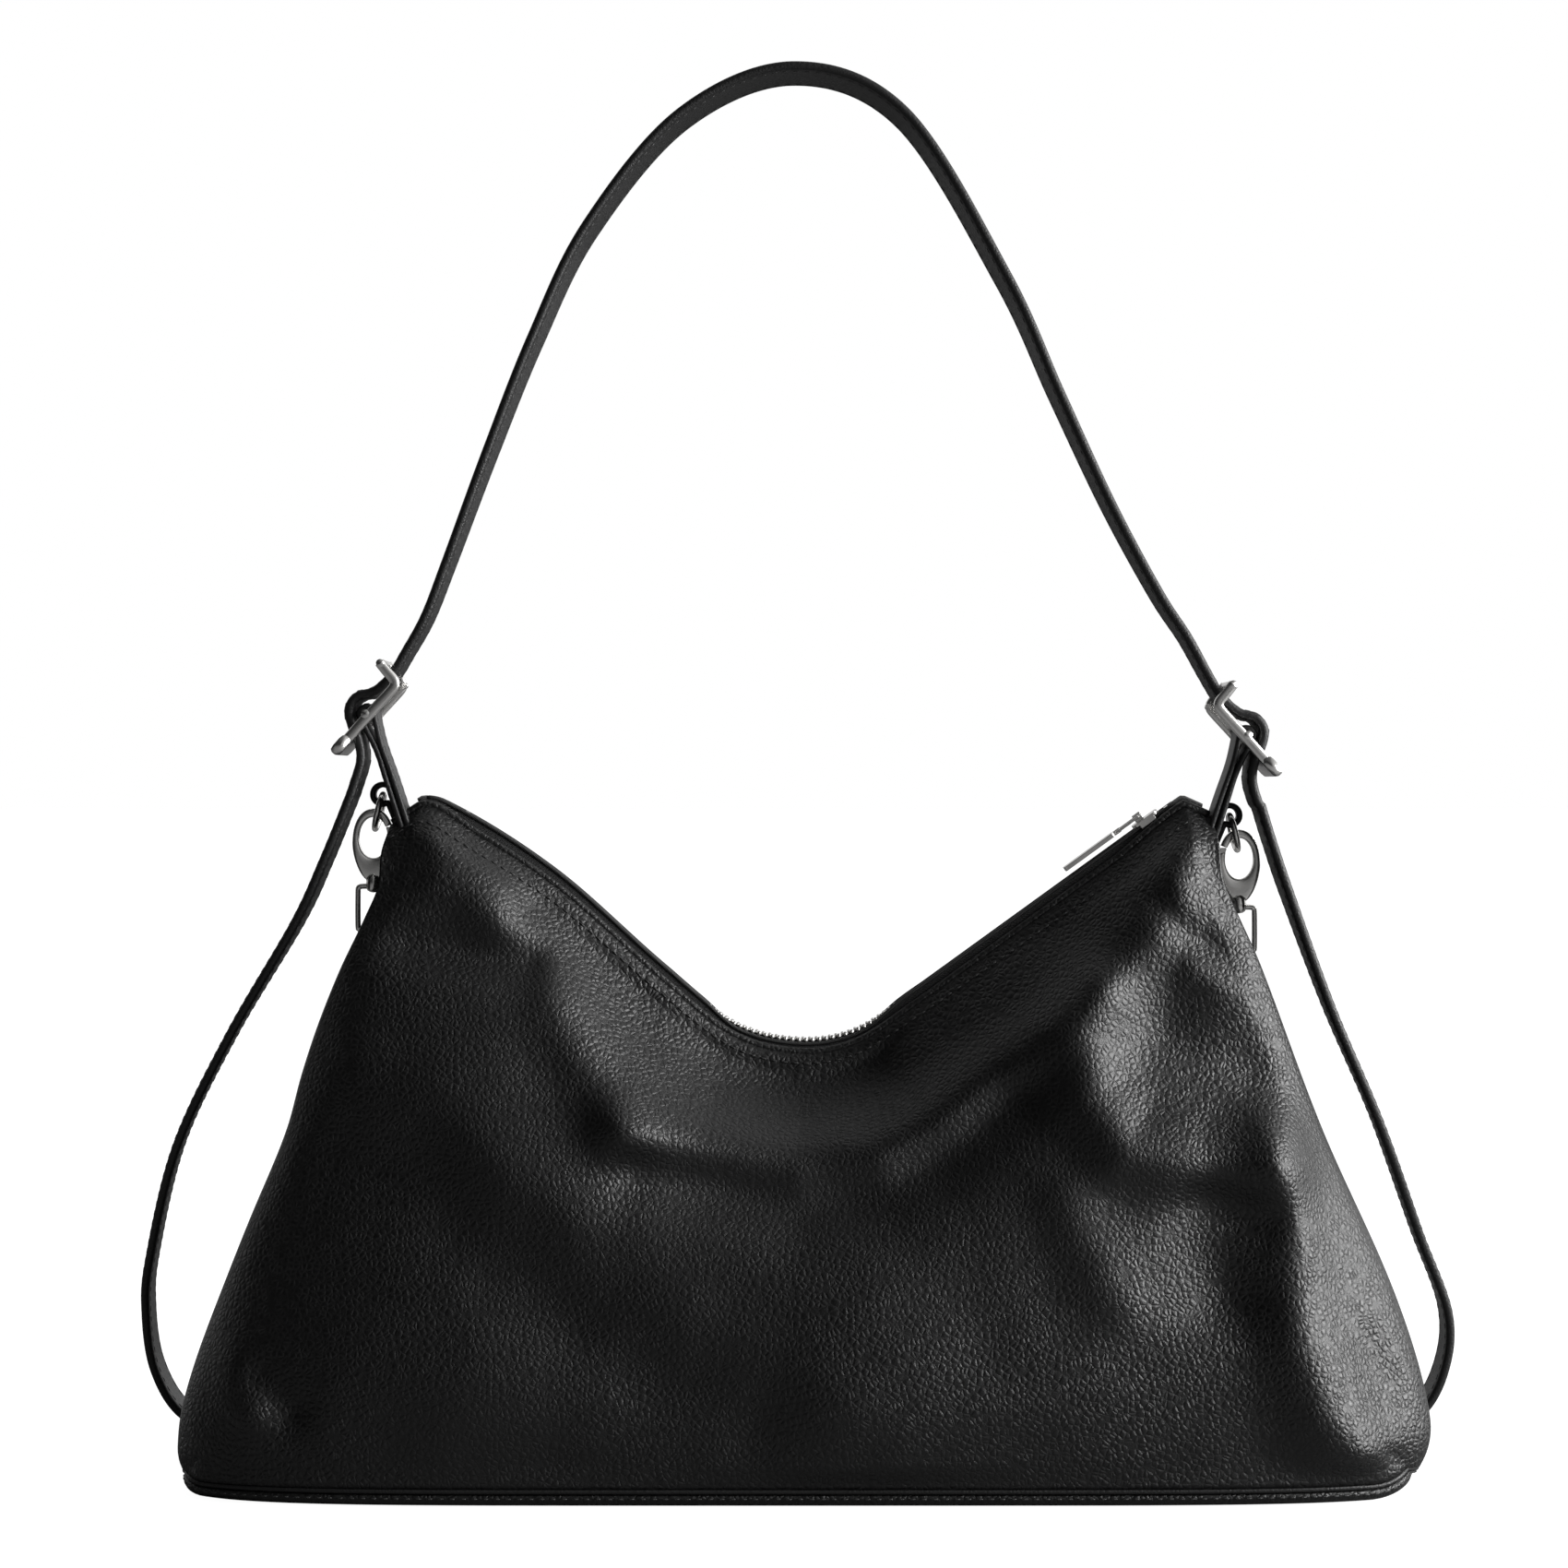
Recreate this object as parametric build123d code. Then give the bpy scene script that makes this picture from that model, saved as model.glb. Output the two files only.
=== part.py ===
from build123d import *
import os
from math import atan2, cos, degrees, pi, radians, sin, sqrt

# Slouchy leather hobo bag.  Millimetres, +Z up, origin on the ground under the middle
# of the base.  The front of the bag faces -Y, +X is to the right seen from the front.

# ---- driving dimensions ---------------------------------------------------------
BASE_HALF_WIDTH = 190.0      # half length of the base along X
BASE_HALF_DEPTH = 54.0       # half depth of the base along Y
LEATHER = 2.2                # wall thickness of the leather shell
SEAM_GAP = 0.4               # between the side walls and the panels they are sewn to
LINING_GAP = 0.8             # air between the leather and the lining
LINING = 0.8                 # lining thickness
RIM_HEIGHT = 3.6             # upturned edge of the base panel
PIPING_HEIGHT = 1.6          # seam strip between the base and the panels
PIPING_GAP = 0.2             # above and below that strip
PANEL_BOTTOM = RIM_HEIGHT + PIPING_HEIGHT + 2 * PIPING_GAP
CORNER_HEIGHT = 206.0        # height of the two top corners
TOP_LEAN = 2.5               # the slack top leans this far towards +X

STRAP_WIDTH = 18.0
STRAP_THICKNESS = 2.8
STRAP_Y = -2.0               # centre of the strap at the buckles
SWING_AXIS_Z = 222.0         # the leather tabs bend about this height
SEWN_TOP = 212.5             # the sewn lower ends of the tabs stop here

HOOK_Y = 8.3                 # the snap hooks hang just behind the strap
RIGHT_SHIFT_X = 5.2          # the right corner reaches further out than the left one
RIGHT_SHIFT_Z = -6.5         # and it hangs lower

ZIP_EDGE_DROP = 3.6          # the leather edges end this far below the teeth
CHAIN_HALF_HEIGHT = 1.0      # zip teeth, measured along Z
CHAIN_OUTER = 2.5            # half width of the closed chain
CHAIN_INNER = 0.6            # half of the gap that the slider's web runs in
TAPE = 0.8                   # zip tape thickness
SLIDER_LENGTH = 9.0
FIT = 0.08                   # radial clearance of a hinge wire in its eye

FRONT = -1
BACK = 1
LEFT = -1
RIGHT = 1
SIDE_NAMES = {LEFT: "left", RIGHT: "right"}

# ---- soft outline of the body ----------------------------------------------------
# (height, half width) of the silhouette
HALF_WIDTHS = [(0, BASE_HALF_WIDTH), (25, BASE_HALF_WIDTH), (60, 180), (110, 158), (160, 139.5), (190, 129.5), (206, 121)]
# (share of the height, half depth) in the middle of the bag
DEPTHS = [(0, BASE_HALF_DEPTH), (0.2, 56), (0.5, 49), (0.75, 34), (0.9, 18), (1, 6.5)]
# (share of the height, half distance between the front and back side edges)
EDGE_DEPTHS = [(0, 26), (0.3, 27), (0.6, 22), (0.85, 19), (0.95, 15), (1, 6)]
# (share of the height, how far the side folds in between its two edges)
FOLDS = [(0, 1), (0.3, 8), (0.6, 18), (0.85, 19), (0.95, 12), (1, 3)]
# (x, z) of the closed zip: a slack curve, then a straight leg up to the right corner
ZIP_CURVE = [(-121, 208), (-109, 206.6), (-75, 185.5), (-41, 155.7), (-20, 139.2),
             (0, 134), (18, 137), (38, 150)]
ZIP_LEG_END = (130.0, 216.5)
ZIP_LEG_START = ZIP_CURVE[-1]
ZIP_SLOPE = (ZIP_LEG_END[1] - ZIP_LEG_START[1]) / (ZIP_LEG_END[0] - ZIP_LEG_START[0])
ZIP_ANGLE = atan2(ZIP_SLOPE, 1)
CHAIN_LEFT_END = -101.0
CHAIN_RIGHT_END = 112.6
SLIDER_X = 107.8


def smooth(points, at):
    """Height at `at` of a smooth curve through points, each slope the average beside it."""
    count = len(points)
    at = min(max(at, points[0][0]), points[-1][0])
    slopes = []
    for i in range(count):
        before = points[max(i - 1, 0)]
        after = points[min(i + 1, count - 1)]
        slopes.append((after[1] - before[1]) / (after[0] - before[0]))
    for i in range(count - 1):
        (x0, y0), (x1, y1) = points[i], points[i + 1]
        if at <= x1:
            break
    span = x1 - x0
    t = (at - x0) / span
    rise = (2 * t**3 - 3 * t**2 + 1) * y0 + (3 * t**2 - 2 * t**3) * y1
    bend = (t**3 - 2 * t**2 + t) * span * slopes[i] + (t**3 - t**2) * span * slopes[i + 1]
    return rise + bend


def zip_height(x):
    """Height of the middle of the zip teeth at x."""
    if x >= ZIP_LEG_START[0]:
        return ZIP_LEG_START[1] + (x - ZIP_LEG_START[0]) * ZIP_SLOPE
    return smooth(ZIP_CURVE, x)


def edge_height(x):
    """Height of the leather's top edge at x."""
    return min(zip_height(x), CORNER_HEIGHT + ZIP_EDGE_DROP) - ZIP_EDGE_DROP


def shell_point(side, u, v, inset):
    """Point of the front or back leather wall: u runs -1..1 across, v runs 0..1 up."""
    edge_z = PANEL_BOTTOM + (CORNER_HEIGHT - PANEL_BOTTOM) * v
    half_width = smooth(HALF_WIDTHS, edge_z) - inset
    x = u * half_width + TOP_LEAN * v**2
    top = edge_height(u * (smooth(HALF_WIDTHS, CORNER_HEIGHT) - inset) + TOP_LEAN)
    z = PANEL_BOTTOM + (top - PANEL_BOTTOM) * v
    middle = smooth(DEPTHS, v)
    edge = smooth(EDGE_DEPTHS, v)
    crown = sqrt(max(1 - abs(u)**6, 0))
    depth = edge + (middle - edge) * crown
    return Vector(x, side * max(depth - inset, 0.8), z)


def gusset_point(side, w, v, depth):
    """Point of a folded side wall: w runs -1..1 from the front edge to the back edge."""
    edge = shell_point(BACK, side, v, 0)
    fold = smooth(FOLDS, v) * (1 - w**2)
    reach = edge.Y - LEATHER - SEAM_GAP
    return Vector(edge.X - side * (fold + depth), reach * w, edge.Z)


# ---- building helpers --------------------------------------------------------------
def slab(outer, inner):
    """Closed solid of flat facets between two grids of points with the same layout."""
    rows = len(outer)
    columns = len(outer[0])
    quads = []
    for i in range(rows - 1):
        for j in range(columns - 1):
            for grid in (outer, inner):
                quads.append((grid[i][j], grid[i + 1][j], grid[i + 1][j + 1], grid[i][j + 1]))
    for j in range(columns - 1):
        for i in (0, rows - 1):
            quads.append((outer[i][j], outer[i][j + 1], inner[i][j + 1], inner[i][j]))
    for i in range(rows - 1):
        for j in (0, columns - 1):
            quads.append((outer[i][j], outer[i + 1][j], inner[i + 1][j], inner[i][j]))
    facets = []
    for a, b, c, d in quads:
        for corners in ((a, b, c), (a, c, d)):
            facets.append(Face(Wire.make_polygon(corners, close=True)))
    return Solid(Shell(facets))


def spread(count, low=-1.0, high=1.0):
    """Evenly spaced values from low to high."""
    return [low + (high - low) * i / (count - 1) for i in range(count)]


def wall(side, inset, thickness, across=(-1.0, 1.0), up=(0.0, 1.0)):
    """Sheet that follows the front or back of the bag, its points closer near the side edges."""
    columns = [sin(t * pi / 2) for t in spread(25, *across)]
    grids = []
    for depth in (inset, inset + thickness):
        grids.append([[shell_point(side, u, v, depth) for v in spread(9, *up)] for u in columns])
    return slab(*grids)


def gusset(side):
    """Side wall, folded in between the front and back panels."""
    grids = []
    for depth in (0.0, LEATHER):
        grids.append([[gusset_point(side, w, v, depth) for v in spread(9, 0.0, 0.97)]
                      for w in spread(9)])
    return slab(*grids)


def ribbon(path, thickness, width, y_centre):
    """Flat strip that follows a path in the XZ plane, its width along Y."""
    half = thickness / 2
    sides = ([], [])
    count = len(path)
    for i in range(count):
        before = Vector(*path[max(i - 1, 0)])
        after = Vector(*path[min(i + 1, count - 1)])
        along = (after - before).normalized()
        normal = Vector(-along.Y, along.X)
        sides[0].append(Vector(*path[i]) + normal * half)
        sides[1].append(Vector(*path[i]) - normal * half)
    upright = Plane.XZ.offset(-y_centre)
    near = Spline(*[upright.from_local_coords(p) for p in sides[0]])
    far = Spline(*[upright.from_local_coords(p) for p in sides[1]])
    ends = [Line(near @ 0, far @ 0), Line(near @ 1, far @ 1)]
    face = Face(Wire([near, far] + ends))
    return extrude(face, amount=width / 2, both=True)


def arc_points(centre, radius, start, end, count):
    """Points of an arc in the XZ plane, angles in degrees."""
    return [(centre[0] + radius * cos(radians(a)), centre[1] + radius * sin(radians(a)))
            for a in spread(count, start, end)]


def rod(x, z, y_centre, radius, length):
    """Round bar along Y."""
    return Pos(x, y_centre, z) * Rot(90, 0, 0) * Cylinder(radius, length)


def wire_frame(points, radius):
    """Closed frame of round wire through the points, with ball corners."""
    frame = None
    for start, end in zip(points, points[1:] + points[:1]):
        span = Vector(*end) - Vector(*start)
        middle = (Vector(*start) + Vector(*end)) / 2
        piece = Plane(origin=middle, z_dir=span) * Cylinder(radius, span.length)
        piece += Pos(*start) * Sphere(radius)
        frame = piece if frame is None else frame + piece
    return frame


def swinging(shape):
    """The part of a strip above the swing axis, its lower end rounded about the axis."""
    reach = 700
    height = 300
    disc = Pos(0, STRAP_Y, SWING_AXIS_Z) * Rot(0, 90, 0) * Cylinder(STRAP_WIDTH / 2, reach)
    above = Pos(0, STRAP_Y, SWING_AXIS_Z + height / 2) * Box(reach, STRAP_WIDTH + 10, height)
    return shape & (disc + above)


def largest(shape):
    """The biggest solid of a cut shape."""
    return max(shape.solids(), key=lambda solid: solid.volume)


def below(shape, top):
    """The part of a shape under a height."""
    reach = 700
    return shape & (Pos(0, 0, top - reach / 2) * Box(reach, reach, reach))


# ---- places on each side, written for the left with x outward, (x, z) ------------------
BUCKLE_TOP = (127.2, 249.5)
BUCKLE_RAIL = [BUCKLE_TOP, (123.6, 245.4), (122.3, 242.2), (124.6, 239.0), (131.8, 234.0), (140.8, 222.6)]
BUCKLE_CENTRE = (131.8, 234.0)
BUCKLE_LOW = (139.3, 224.8)
BUCKLE_LOW_LENGTH = 6.0
RAIL = 2.4
RAIL_GAP = 0.9
CENTRE_BAR_RADIUS = 1.3
TOP_BAR_RADIUS = 1.2
PRONG_TIP = (120.9, 242.8)
PRONG_WIDTH = 3.0
TAB_WIDTH = 15.4
TAB_THICKNESS = 1.6
CURL_CENTRE = (128.6, 209.4)
CURL_WIDTH = 5.0
CURL_RADIUS = 3.05
CURL_THICKNESS = 1.5
RING_RADIUS = 5.5
RING_WIRE = 0.95
RING_TILT = 13.0             # degrees the ring hangs from upright
HOOK_BODY = (131.6, 194.1)
HOOK_HOLE = (131.6, 195.3)
HOOK_THICKNESS = 3.4
GATE_THICKNESS = 1.8
GATE_INNER = 127.6           # the gate's inner edge
GATE_ROOM = 1.2              # room for it to turn inward
GATE_PIN = (126.3, 192.2)
GATE_PIN_RADIUS = 0.45
LOOP_BAR = (131.6, 167.2)
LOOP_TOP = 177.0
LOOP_HALF_WIDTH = 4.8
LOOP_WIRE = 0.7
STUD_RADIUS = 0.75
STUD_LENGTH = 7.0
STUD_HEAD_RADIUS = 1.4
NECK_Z = 181.6
NECK_RADIUS = 1.7
NECK_LENGTH = 5.0
HOOK_OUTER = (6.5, 10.9)     # half width and half height
HOOK_INNER = (4.7, 6.45)

# The strap beside a buckle, from the arch down: inside the top bar, out over the centre
# bar, in behind the low bar and down.
STRAP_THROUGH_BUCKLE = [(113.6, 264.0), (119.8, 252.8), (124.2, 245.6), (129.4, 240.9),
                        (134.6, 239.4), (137.2, 235.4), (136.1, 230.2), (134.3, 226.2),
                        (133.5, 220.0), (135.6, 212.6), (138.2, 205.0)]
ARCH = [(-107, 281), (-94.3, 315), (-80.7, 349), (-64, 383), (-35.5, 417), (-1.4, 431),
        (32, 417.5), (63, 368), (79.5, 332), (95.4, 298), (110, 271)]
# The slack lengths down the sides to the back corners, (x, y, z)
SIDE_STRAP = {
    LEFT: [(-137.6, -2, 207), (-145, -1.5, 189), (-154, 0, 170), (-175, 6, 135.5), (-193, 16, 100.5),
           (-203.5, 29, 64.5), (-205.8, 36, 46), (-204.2, 41, 27.5), (-198, 45, 14), (-185, 46, 7.6)],
    RIGHT: [(141.4, -2, 206), (144.8, -2, 195), (150.5, -1, 178.5), (163.8, 3, 144), (179.7, 11, 109),
            (194.8, 27, 72.5), (205.4, 37, 46), (205.2, 41, 27.5), (198, 45, 14), (185, 46, 7.6)],
}


def place(side, point):
    """World (x, z) of a point written for the left side with x outward."""
    if side == LEFT:
        return (-point[0], point[1])
    return (point[0] + RIGHT_SHIFT_X, point[1] + RIGHT_SHIFT_Z)


def to_side(side, shape):
    """Move a shape written for the left side with x outward to its place."""
    if side == LEFT:
        return mirror(shape, about=Plane.YZ)
    return Pos(RIGHT_SHIFT_X, 0, RIGHT_SHIFT_Z) * shape


# ---- body of the bag -------------------------------------------------------------------
def base_prism(inset, low, high):
    """Solid with the outline of the base, between two heights."""
    across = spread(17)
    front = Spline(*[shell_point(FRONT, u, 0, inset) for u in across])
    back = Spline(*[shell_point(BACK, u, 0, inset) for u in across])
    ends = [Line(front @ 0, back @ 0), Line(front @ 1, back @ 1)]
    face = Pos(0, 0, low - PANEL_BOTTOM) * Face(Wire([front, back] + ends))
    return extrude(face, amount=high - low, dir=(0, 0, 1))


def base_panel():
    return base_prism(0, 0, RIM_HEIGHT) - base_prism(LEATHER, LEATHER, RIM_HEIGHT + 1)


def base_piping():
    low = RIM_HEIGHT + PIPING_GAP
    high = low + PIPING_HEIGHT
    return base_prism(-0.3, low, high) - base_prism(LEATHER, low - 1, high + 1)


def base_board():
    return base_prism(LEATHER + 1.5, LEATHER + 0.2, LEATHER + 2.0)


def inner_pocket():
    gap = LEATHER + LINING_GAP + LINING + 0.6
    return wall(BACK, gap, LINING, across=(-0.33, 0.3), up=(0.22, 0.66))


# ---- zip -------------------------------------------------------------------------------
def chain(side):
    """Half of the closed chain of teeth, as one plain strip."""
    xs = spread(15, CHAIN_LEFT_END, ZIP_LEG_START[0])
    outline = []
    for shift in (-CHAIN_HALF_HEIGHT, CHAIN_HALF_HEIGHT):
        curve = Spline(*[Vector(x, 0, zip_height(x) + shift) for x in xs])
        end = Vector(CHAIN_RIGHT_END, 0, zip_height(CHAIN_RIGHT_END) + shift)
        outline.append((curve, Line(curve @ 1, end)))
    (low, low_leg), (high, high_leg) = outline
    sides = [Line(low @ 0, high @ 0), Line(low_leg @ 1, high_leg @ 1)]
    face = Face(Wire([low, low_leg, high, high_leg] + sides))
    depth = CHAIN_OUTER - CHAIN_INNER
    strip = extrude(face, amount=depth / 2, dir=(0, 1, 0), both=True)
    return Pos(0, side * (CHAIN_INNER + CHAIN_OUTER) / 2, 0) * strip


def zip_tape(side):
    """Half of the zip tape, from behind the leather edge up to the teeth."""
    xs = spread(33, -112.5, 115)
    rows = [(3.9, -9.0), (3.8, -4.6), (3.4, -CHAIN_HALF_HEIGHT + 0.6)]
    grids = []
    for inset in (0.0, TAPE):
        grids.append([[Vector(x, side * (y - inset), zip_height(x) + dz) for y, dz in rows] for x in xs])
    return slab(*grids)


def on_zip(x, shape, above=0.0):
    """Put a shape on the zip at x, its X axis along the teeth and its Z axis away from them."""
    step = 1.0
    angle = degrees(atan2(zip_height(x + step) - zip_height(x - step), 2 * step))
    return Pos(x, 0, zip_height(x)) * Rot(0, -angle, 0) * Pos(0, 0, above) * shape


CAP_LENGTH, CAP_WIDTH, CAP_HEIGHT = 9.0, 10.4, 4.8
CAP_LEATHER = 1.1
CAP_LEFT_X, CAP_RIGHT_X = -109.0, 119.5
STOP_SIZE = (1.4, 4.6, 2.2)
STOP_OFFSET = 1.2


def zip_end(x):
    """Leather cap folded over the end of the zip."""
    cap = Box(CAP_LENGTH, CAP_WIDTH, CAP_HEIGHT)
    cap -= Pos(0, 0, -CAP_LEATHER) * Box(CAP_LENGTH + 1, CAP_WIDTH - 2 * CAP_LEATHER, CAP_HEIGHT)
    return on_zip(x, cap, above=-0.3)


def zip_stops():
    stop = Box(*STOP_SIZE)
    return Compound([on_zip(CHAIN_LEFT_END - STOP_OFFSET, stop), on_zip(CHAIN_RIGHT_END + STOP_OFFSET, stop)])


def along_zip(s, n):
    """World (x, z) at s along the straight leg from the slider's middle and n above it."""
    x = SLIDER_X + s * cos(ZIP_ANGLE) - n * sin(ZIP_ANGLE)
    z = zip_height(SLIDER_X) + s * sin(ZIP_ANGLE) + n * cos(ZIP_ANGLE)
    return x, z


PLATE_GAP = 0.4
TOP_PLATE = 1.0
PULL_PIVOT = (-1.5, 3.6)
PULL_LOOP_LENGTH = 7.6
PULL_LOOP_WIDTH = 4.6
PULL_WIRE = 0.45
PULL_BAR_LENGTH = 21.0
PULL_BAR_WIDTH = 6.0
PULL_BAR_THICKNESS = 1.4


def on_slider(shape, s=0.0, n=0.0):
    """Put a shape on the slider, its X axis along the zip."""
    x, z = along_zip(s, n)
    return Pos(x, 0, z) * Rot(0, -degrees(ZIP_ANGLE), 0) * shape


def zip_slider():
    half_chain = CHAIN_HALF_HEIGHT * cos(ZIP_ANGLE)
    low = half_chain + PLATE_GAP
    width = 8.6
    plate = Pos(0, 0, low + TOP_PLATE / 2) * Box(SLIDER_LENGTH, width, TOP_PLATE)
    plate = fillet(plate.edges().filter_by(Axis.Z), 1.8)
    rim = Box(SLIDER_LENGTH - 3.6, 0.8, low + 0.2)
    for side in (FRONT, BACK):
        plate += Pos(0, side * (width / 2 - 0.4), (low + 0.2) / 2) * rim
    web = Pos(0, 0, -0.2) * Box(SLIDER_LENGTH - 3, 0.7, 2 * low + 1.2)
    floor = Pos(0, 0, -low - 0.4) * Box(SLIDER_LENGTH - 2, 3.6, 0.8)
    bail = Pos(PULL_PIVOT[0], 0, (low + TOP_PLATE + PULL_PIVOT[1]) / 2 + 0.3)
    bail = bail * Box(2.6, 2.2, PULL_PIVOT[1] - low - TOP_PLATE + 1.6)
    eye = Pos(PULL_PIVOT[0], 0, PULL_PIVOT[1]) * Rot(90, 0, 0) * Cylinder(PULL_WIRE + FIT, 10)
    return on_slider(plate + web + floor + bail - eye)


def pull_loop():
    half = PULL_LOOP_WIDTH / 2
    corners = [(0, -half, 0), (0, half, 0), (-PULL_LOOP_LENGTH, half, 0), (-PULL_LOOP_LENGTH, -half, 0)]
    return on_slider(wire_frame(corners, PULL_WIRE), *PULL_PIVOT)


def zip_pull():
    neck_length = 2.4
    neck = Pos(-neck_length / 2 + 1.0, 0, 0) * Box(neck_length, 3.2, PULL_BAR_THICKNESS)
    bar_length = PULL_BAR_LENGTH - neck_length
    bar = Pos(1.0 - neck_length - bar_length / 2, 0, 0) * Box(bar_length, PULL_BAR_WIDTH, PULL_BAR_THICKNESS)
    bar = fillet(bar.edges().filter_by(Axis.Z), 0.8)
    eye = Rot(90, 0, 0) * Cylinder(PULL_WIRE + FIT, 10)
    return on_slider(neck + bar - eye, PULL_PIVOT[0] - PULL_LOOP_LENGTH, PULL_PIVOT[1])


# ---- strap, buckles and their leather tabs ----------------------------------------------
def shoulder_strap():
    """One strap over the shoulder, threaded through both buckles."""
    left = [place(LEFT, p) for p in reversed(STRAP_THROUGH_BUCKLE)]
    right = [place(RIGHT, p) for p in STRAP_THROUGH_BUCKLE]
    return swinging(ribbon(left + ARCH + right, STRAP_THICKNESS, STRAP_WIDTH, STRAP_Y))


def strap_side(side):
    """Slack length of the strap from under the buckle down to the back corner."""
    path = SIDE_STRAP[side]
    count = len(path)
    grids = []
    for half in (-STRAP_THICKNESS / 2, STRAP_THICKNESS / 2):
        grid = []
        for i, point in enumerate(path):
            before = path[max(i - 1, 0)]
            after = path[min(i + 1, count - 1)]
            along = Vector(after[0] - before[0], 0, after[2] - before[2]).normalized()
            normal = Vector(-along.Z, 0, along.X) * half
            grid.append([Vector(*point) + normal + Vector(0, y, 0)
                         for y in spread(3, -STRAP_WIDTH / 2, STRAP_WIDTH / 2)])
        grids.append(grid)
    return slab(*grids)


ANCHOR_CENTRE = (184.0, 47.0, 3.8)
ANCHOR_SIZE = (14.0, 11.0, 3.2)


def strap_anchor(side):
    """Leather patch at the base corner that the strap's end is sewn to."""
    x, y, z = ANCHOR_CENTRE
    return Pos(side * x, y, z) * Box(*ANCHOR_SIZE)


def buckle_frame(side):
    """Bent frame with a top bar, a centre bar and a broad low bar."""
    rail_y = STRAP_WIDTH / 2 + RAIL_GAP + RAIL / 2
    full_width = 2 * rail_y + RAIL
    frame = rod(*BUCKLE_CENTRE, STRAP_Y, CENTRE_BAR_RADIUS, full_width)
    frame += rod(*BUCKLE_TOP, STRAP_Y, TOP_BAR_RADIUS, full_width)
    for end in (FRONT, BACK):
        frame += ribbon(BUCKLE_RAIL, 2.6, RAIL, STRAP_Y + end * rail_y)
    slope = degrees(atan2(BUCKLE_CENTRE[1] - BUCKLE_LOW[1], BUCKLE_LOW[0] - BUCKLE_CENTRE[0]))
    low_bar = Rot(0, slope, 0) * Box(BUCKLE_LOW_LENGTH, full_width, 2.0)
    frame += Pos(BUCKLE_LOW[0], STRAP_Y, BUCKLE_LOW[1]) * low_bar
    return to_side(side, frame)


def buckle_prong(side):
    """Tongue that pivots on the centre bar and points up and inward."""
    x, z = BUCKLE_CENTRE
    eye_radius = 2.6
    prong = rod(x, z, STRAP_Y, eye_radius, PRONG_WIDTH)
    reach = Vector(PRONG_TIP[0] - x, PRONG_TIP[1] - z)
    slope = degrees(atan2(reach.Y, reach.X))
    shank = Pos(reach.length / 2, 0, 0) * Box(reach.length, PRONG_WIDTH, 1.6)
    prong += Pos(x, STRAP_Y, z) * Rot(0, -slope, 0) * shank
    prong += rod(*PRONG_TIP, STRAP_Y, 1.0, PRONG_WIDTH)
    prong -= rod(x, z, STRAP_Y, CENTRE_BAR_RADIUS + FIT, PRONG_WIDTH + 2)
    return to_side(side, prong)


def tab_loop(side):
    """Leather tab from the bag's corner, round the centre bar and back, with a prong slot."""
    round_bar = arc_points(BUCKLE_CENTRE, CENTRE_BAR_RADIUS + 0.25 + TAB_THICKNESS / 2, -15, 195, 7)
    path = [(121.9, 203.0), (125.6, 213.0), (128.9, 223.0)] + round_bar
    path += [(127.6, 225.0), (123.6, 213.5), (119.7, 203.0)]
    tab = ribbon(path, TAB_THICKNESS, TAB_WIDTH, STRAP_Y)
    tab -= Pos(BUCKLE_CENTRE[0], STRAP_Y, BUCKLE_CENTRE[1] + 1) * Box(12, PRONG_WIDTH + 1.2, 8)
    return to_side(side, tab)


# ---- rings and snap hooks ------------------------------------------------------------------
def ring_loop(side):
    """Leather strip curled round the ring's wire, its ends against the side wall."""
    curl = arc_points(CURL_CENTRE, CURL_RADIUS, 165, -120, 9)
    path = [(122.9, 202.2), (123.6, 206.4)] + curl + [(125.9, 204.4), (125.3, 202.2)]
    strip = to_side(side, ribbon(path, CURL_THICKNESS, CURL_WIDTH, HOOK_Y))
    return largest(strip - gusset(side))


def ring(side):
    tilt = radians(RING_TILT)
    x = CURL_CENTRE[0] + RING_RADIUS * sin(tilt)
    z = CURL_CENTRE[1] - RING_RADIUS * cos(tilt)
    return to_side(side, Pos(x, HOOK_Y, z) * Rot(0, 90 - RING_TILT, 0) * Torus(RING_RADIUS, RING_WIRE))


def plate_at(point, sketch, thickness):
    """Flat plate in the XZ plane, its thickness centred on the hooks' plane."""
    upright = Plane.XZ.offset(-HOOK_Y) * Pos(*point) * sketch
    return extrude(upright, amount=thickness / 2, both=True)


def hook_plate(thickness):
    """Flat oval with the oval hole that the ring hangs in."""
    outer = plate_at(HOOK_BODY, Ellipse(*HOOK_OUTER), thickness)
    return outer - plate_at(HOOK_HOLE, Ellipse(*HOOK_INNER), thickness + 2)


def gate_window(low, high, width, inner=GATE_INNER):
    """Block over the inner side of the hook, between two heights, from x = 119 to `inner`."""
    outer = 119.0
    return Pos((inner + outer) / 2, HOOK_Y, (low + high) / 2) * Box(inner - outer, width, high - low)


def hook_body(side):
    x, z = HOOK_BODY
    body = hook_plate(HOOK_THICKNESS) - gate_window(194.0, 199.6, 10, GATE_INNER + GATE_ROOM)
    body -= gate_window(190.4, 195.0, GATE_THICKNESS + 0.3)
    body += Pos(x, HOOK_Y, NECK_Z) * Cylinder(NECK_RADIUS, NECK_LENGTH)
    body += Pos(x, HOOK_Y, LOOP_TOP) * Cylinder(STUD_RADIUS, STUD_LENGTH)
    body += Pos(x, HOOK_Y, LOOP_TOP - 2.7) * Cylinder(STUD_HEAD_RADIUS, 0.9)
    body -= rod(*GATE_PIN, HOOK_Y, GATE_PIN_RADIUS + FIT, 10)
    return to_side(side, body)


def hook_gate(side):
    window = gate_window(190.8, 199.3, GATE_THICKNESS)
    gate = hook_plate(GATE_THICKNESS) & window
    gate += rod(*GATE_PIN, HOOK_Y, GATE_PIN_RADIUS, HOOK_THICKNESS)
    return to_side(side, gate)


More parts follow.
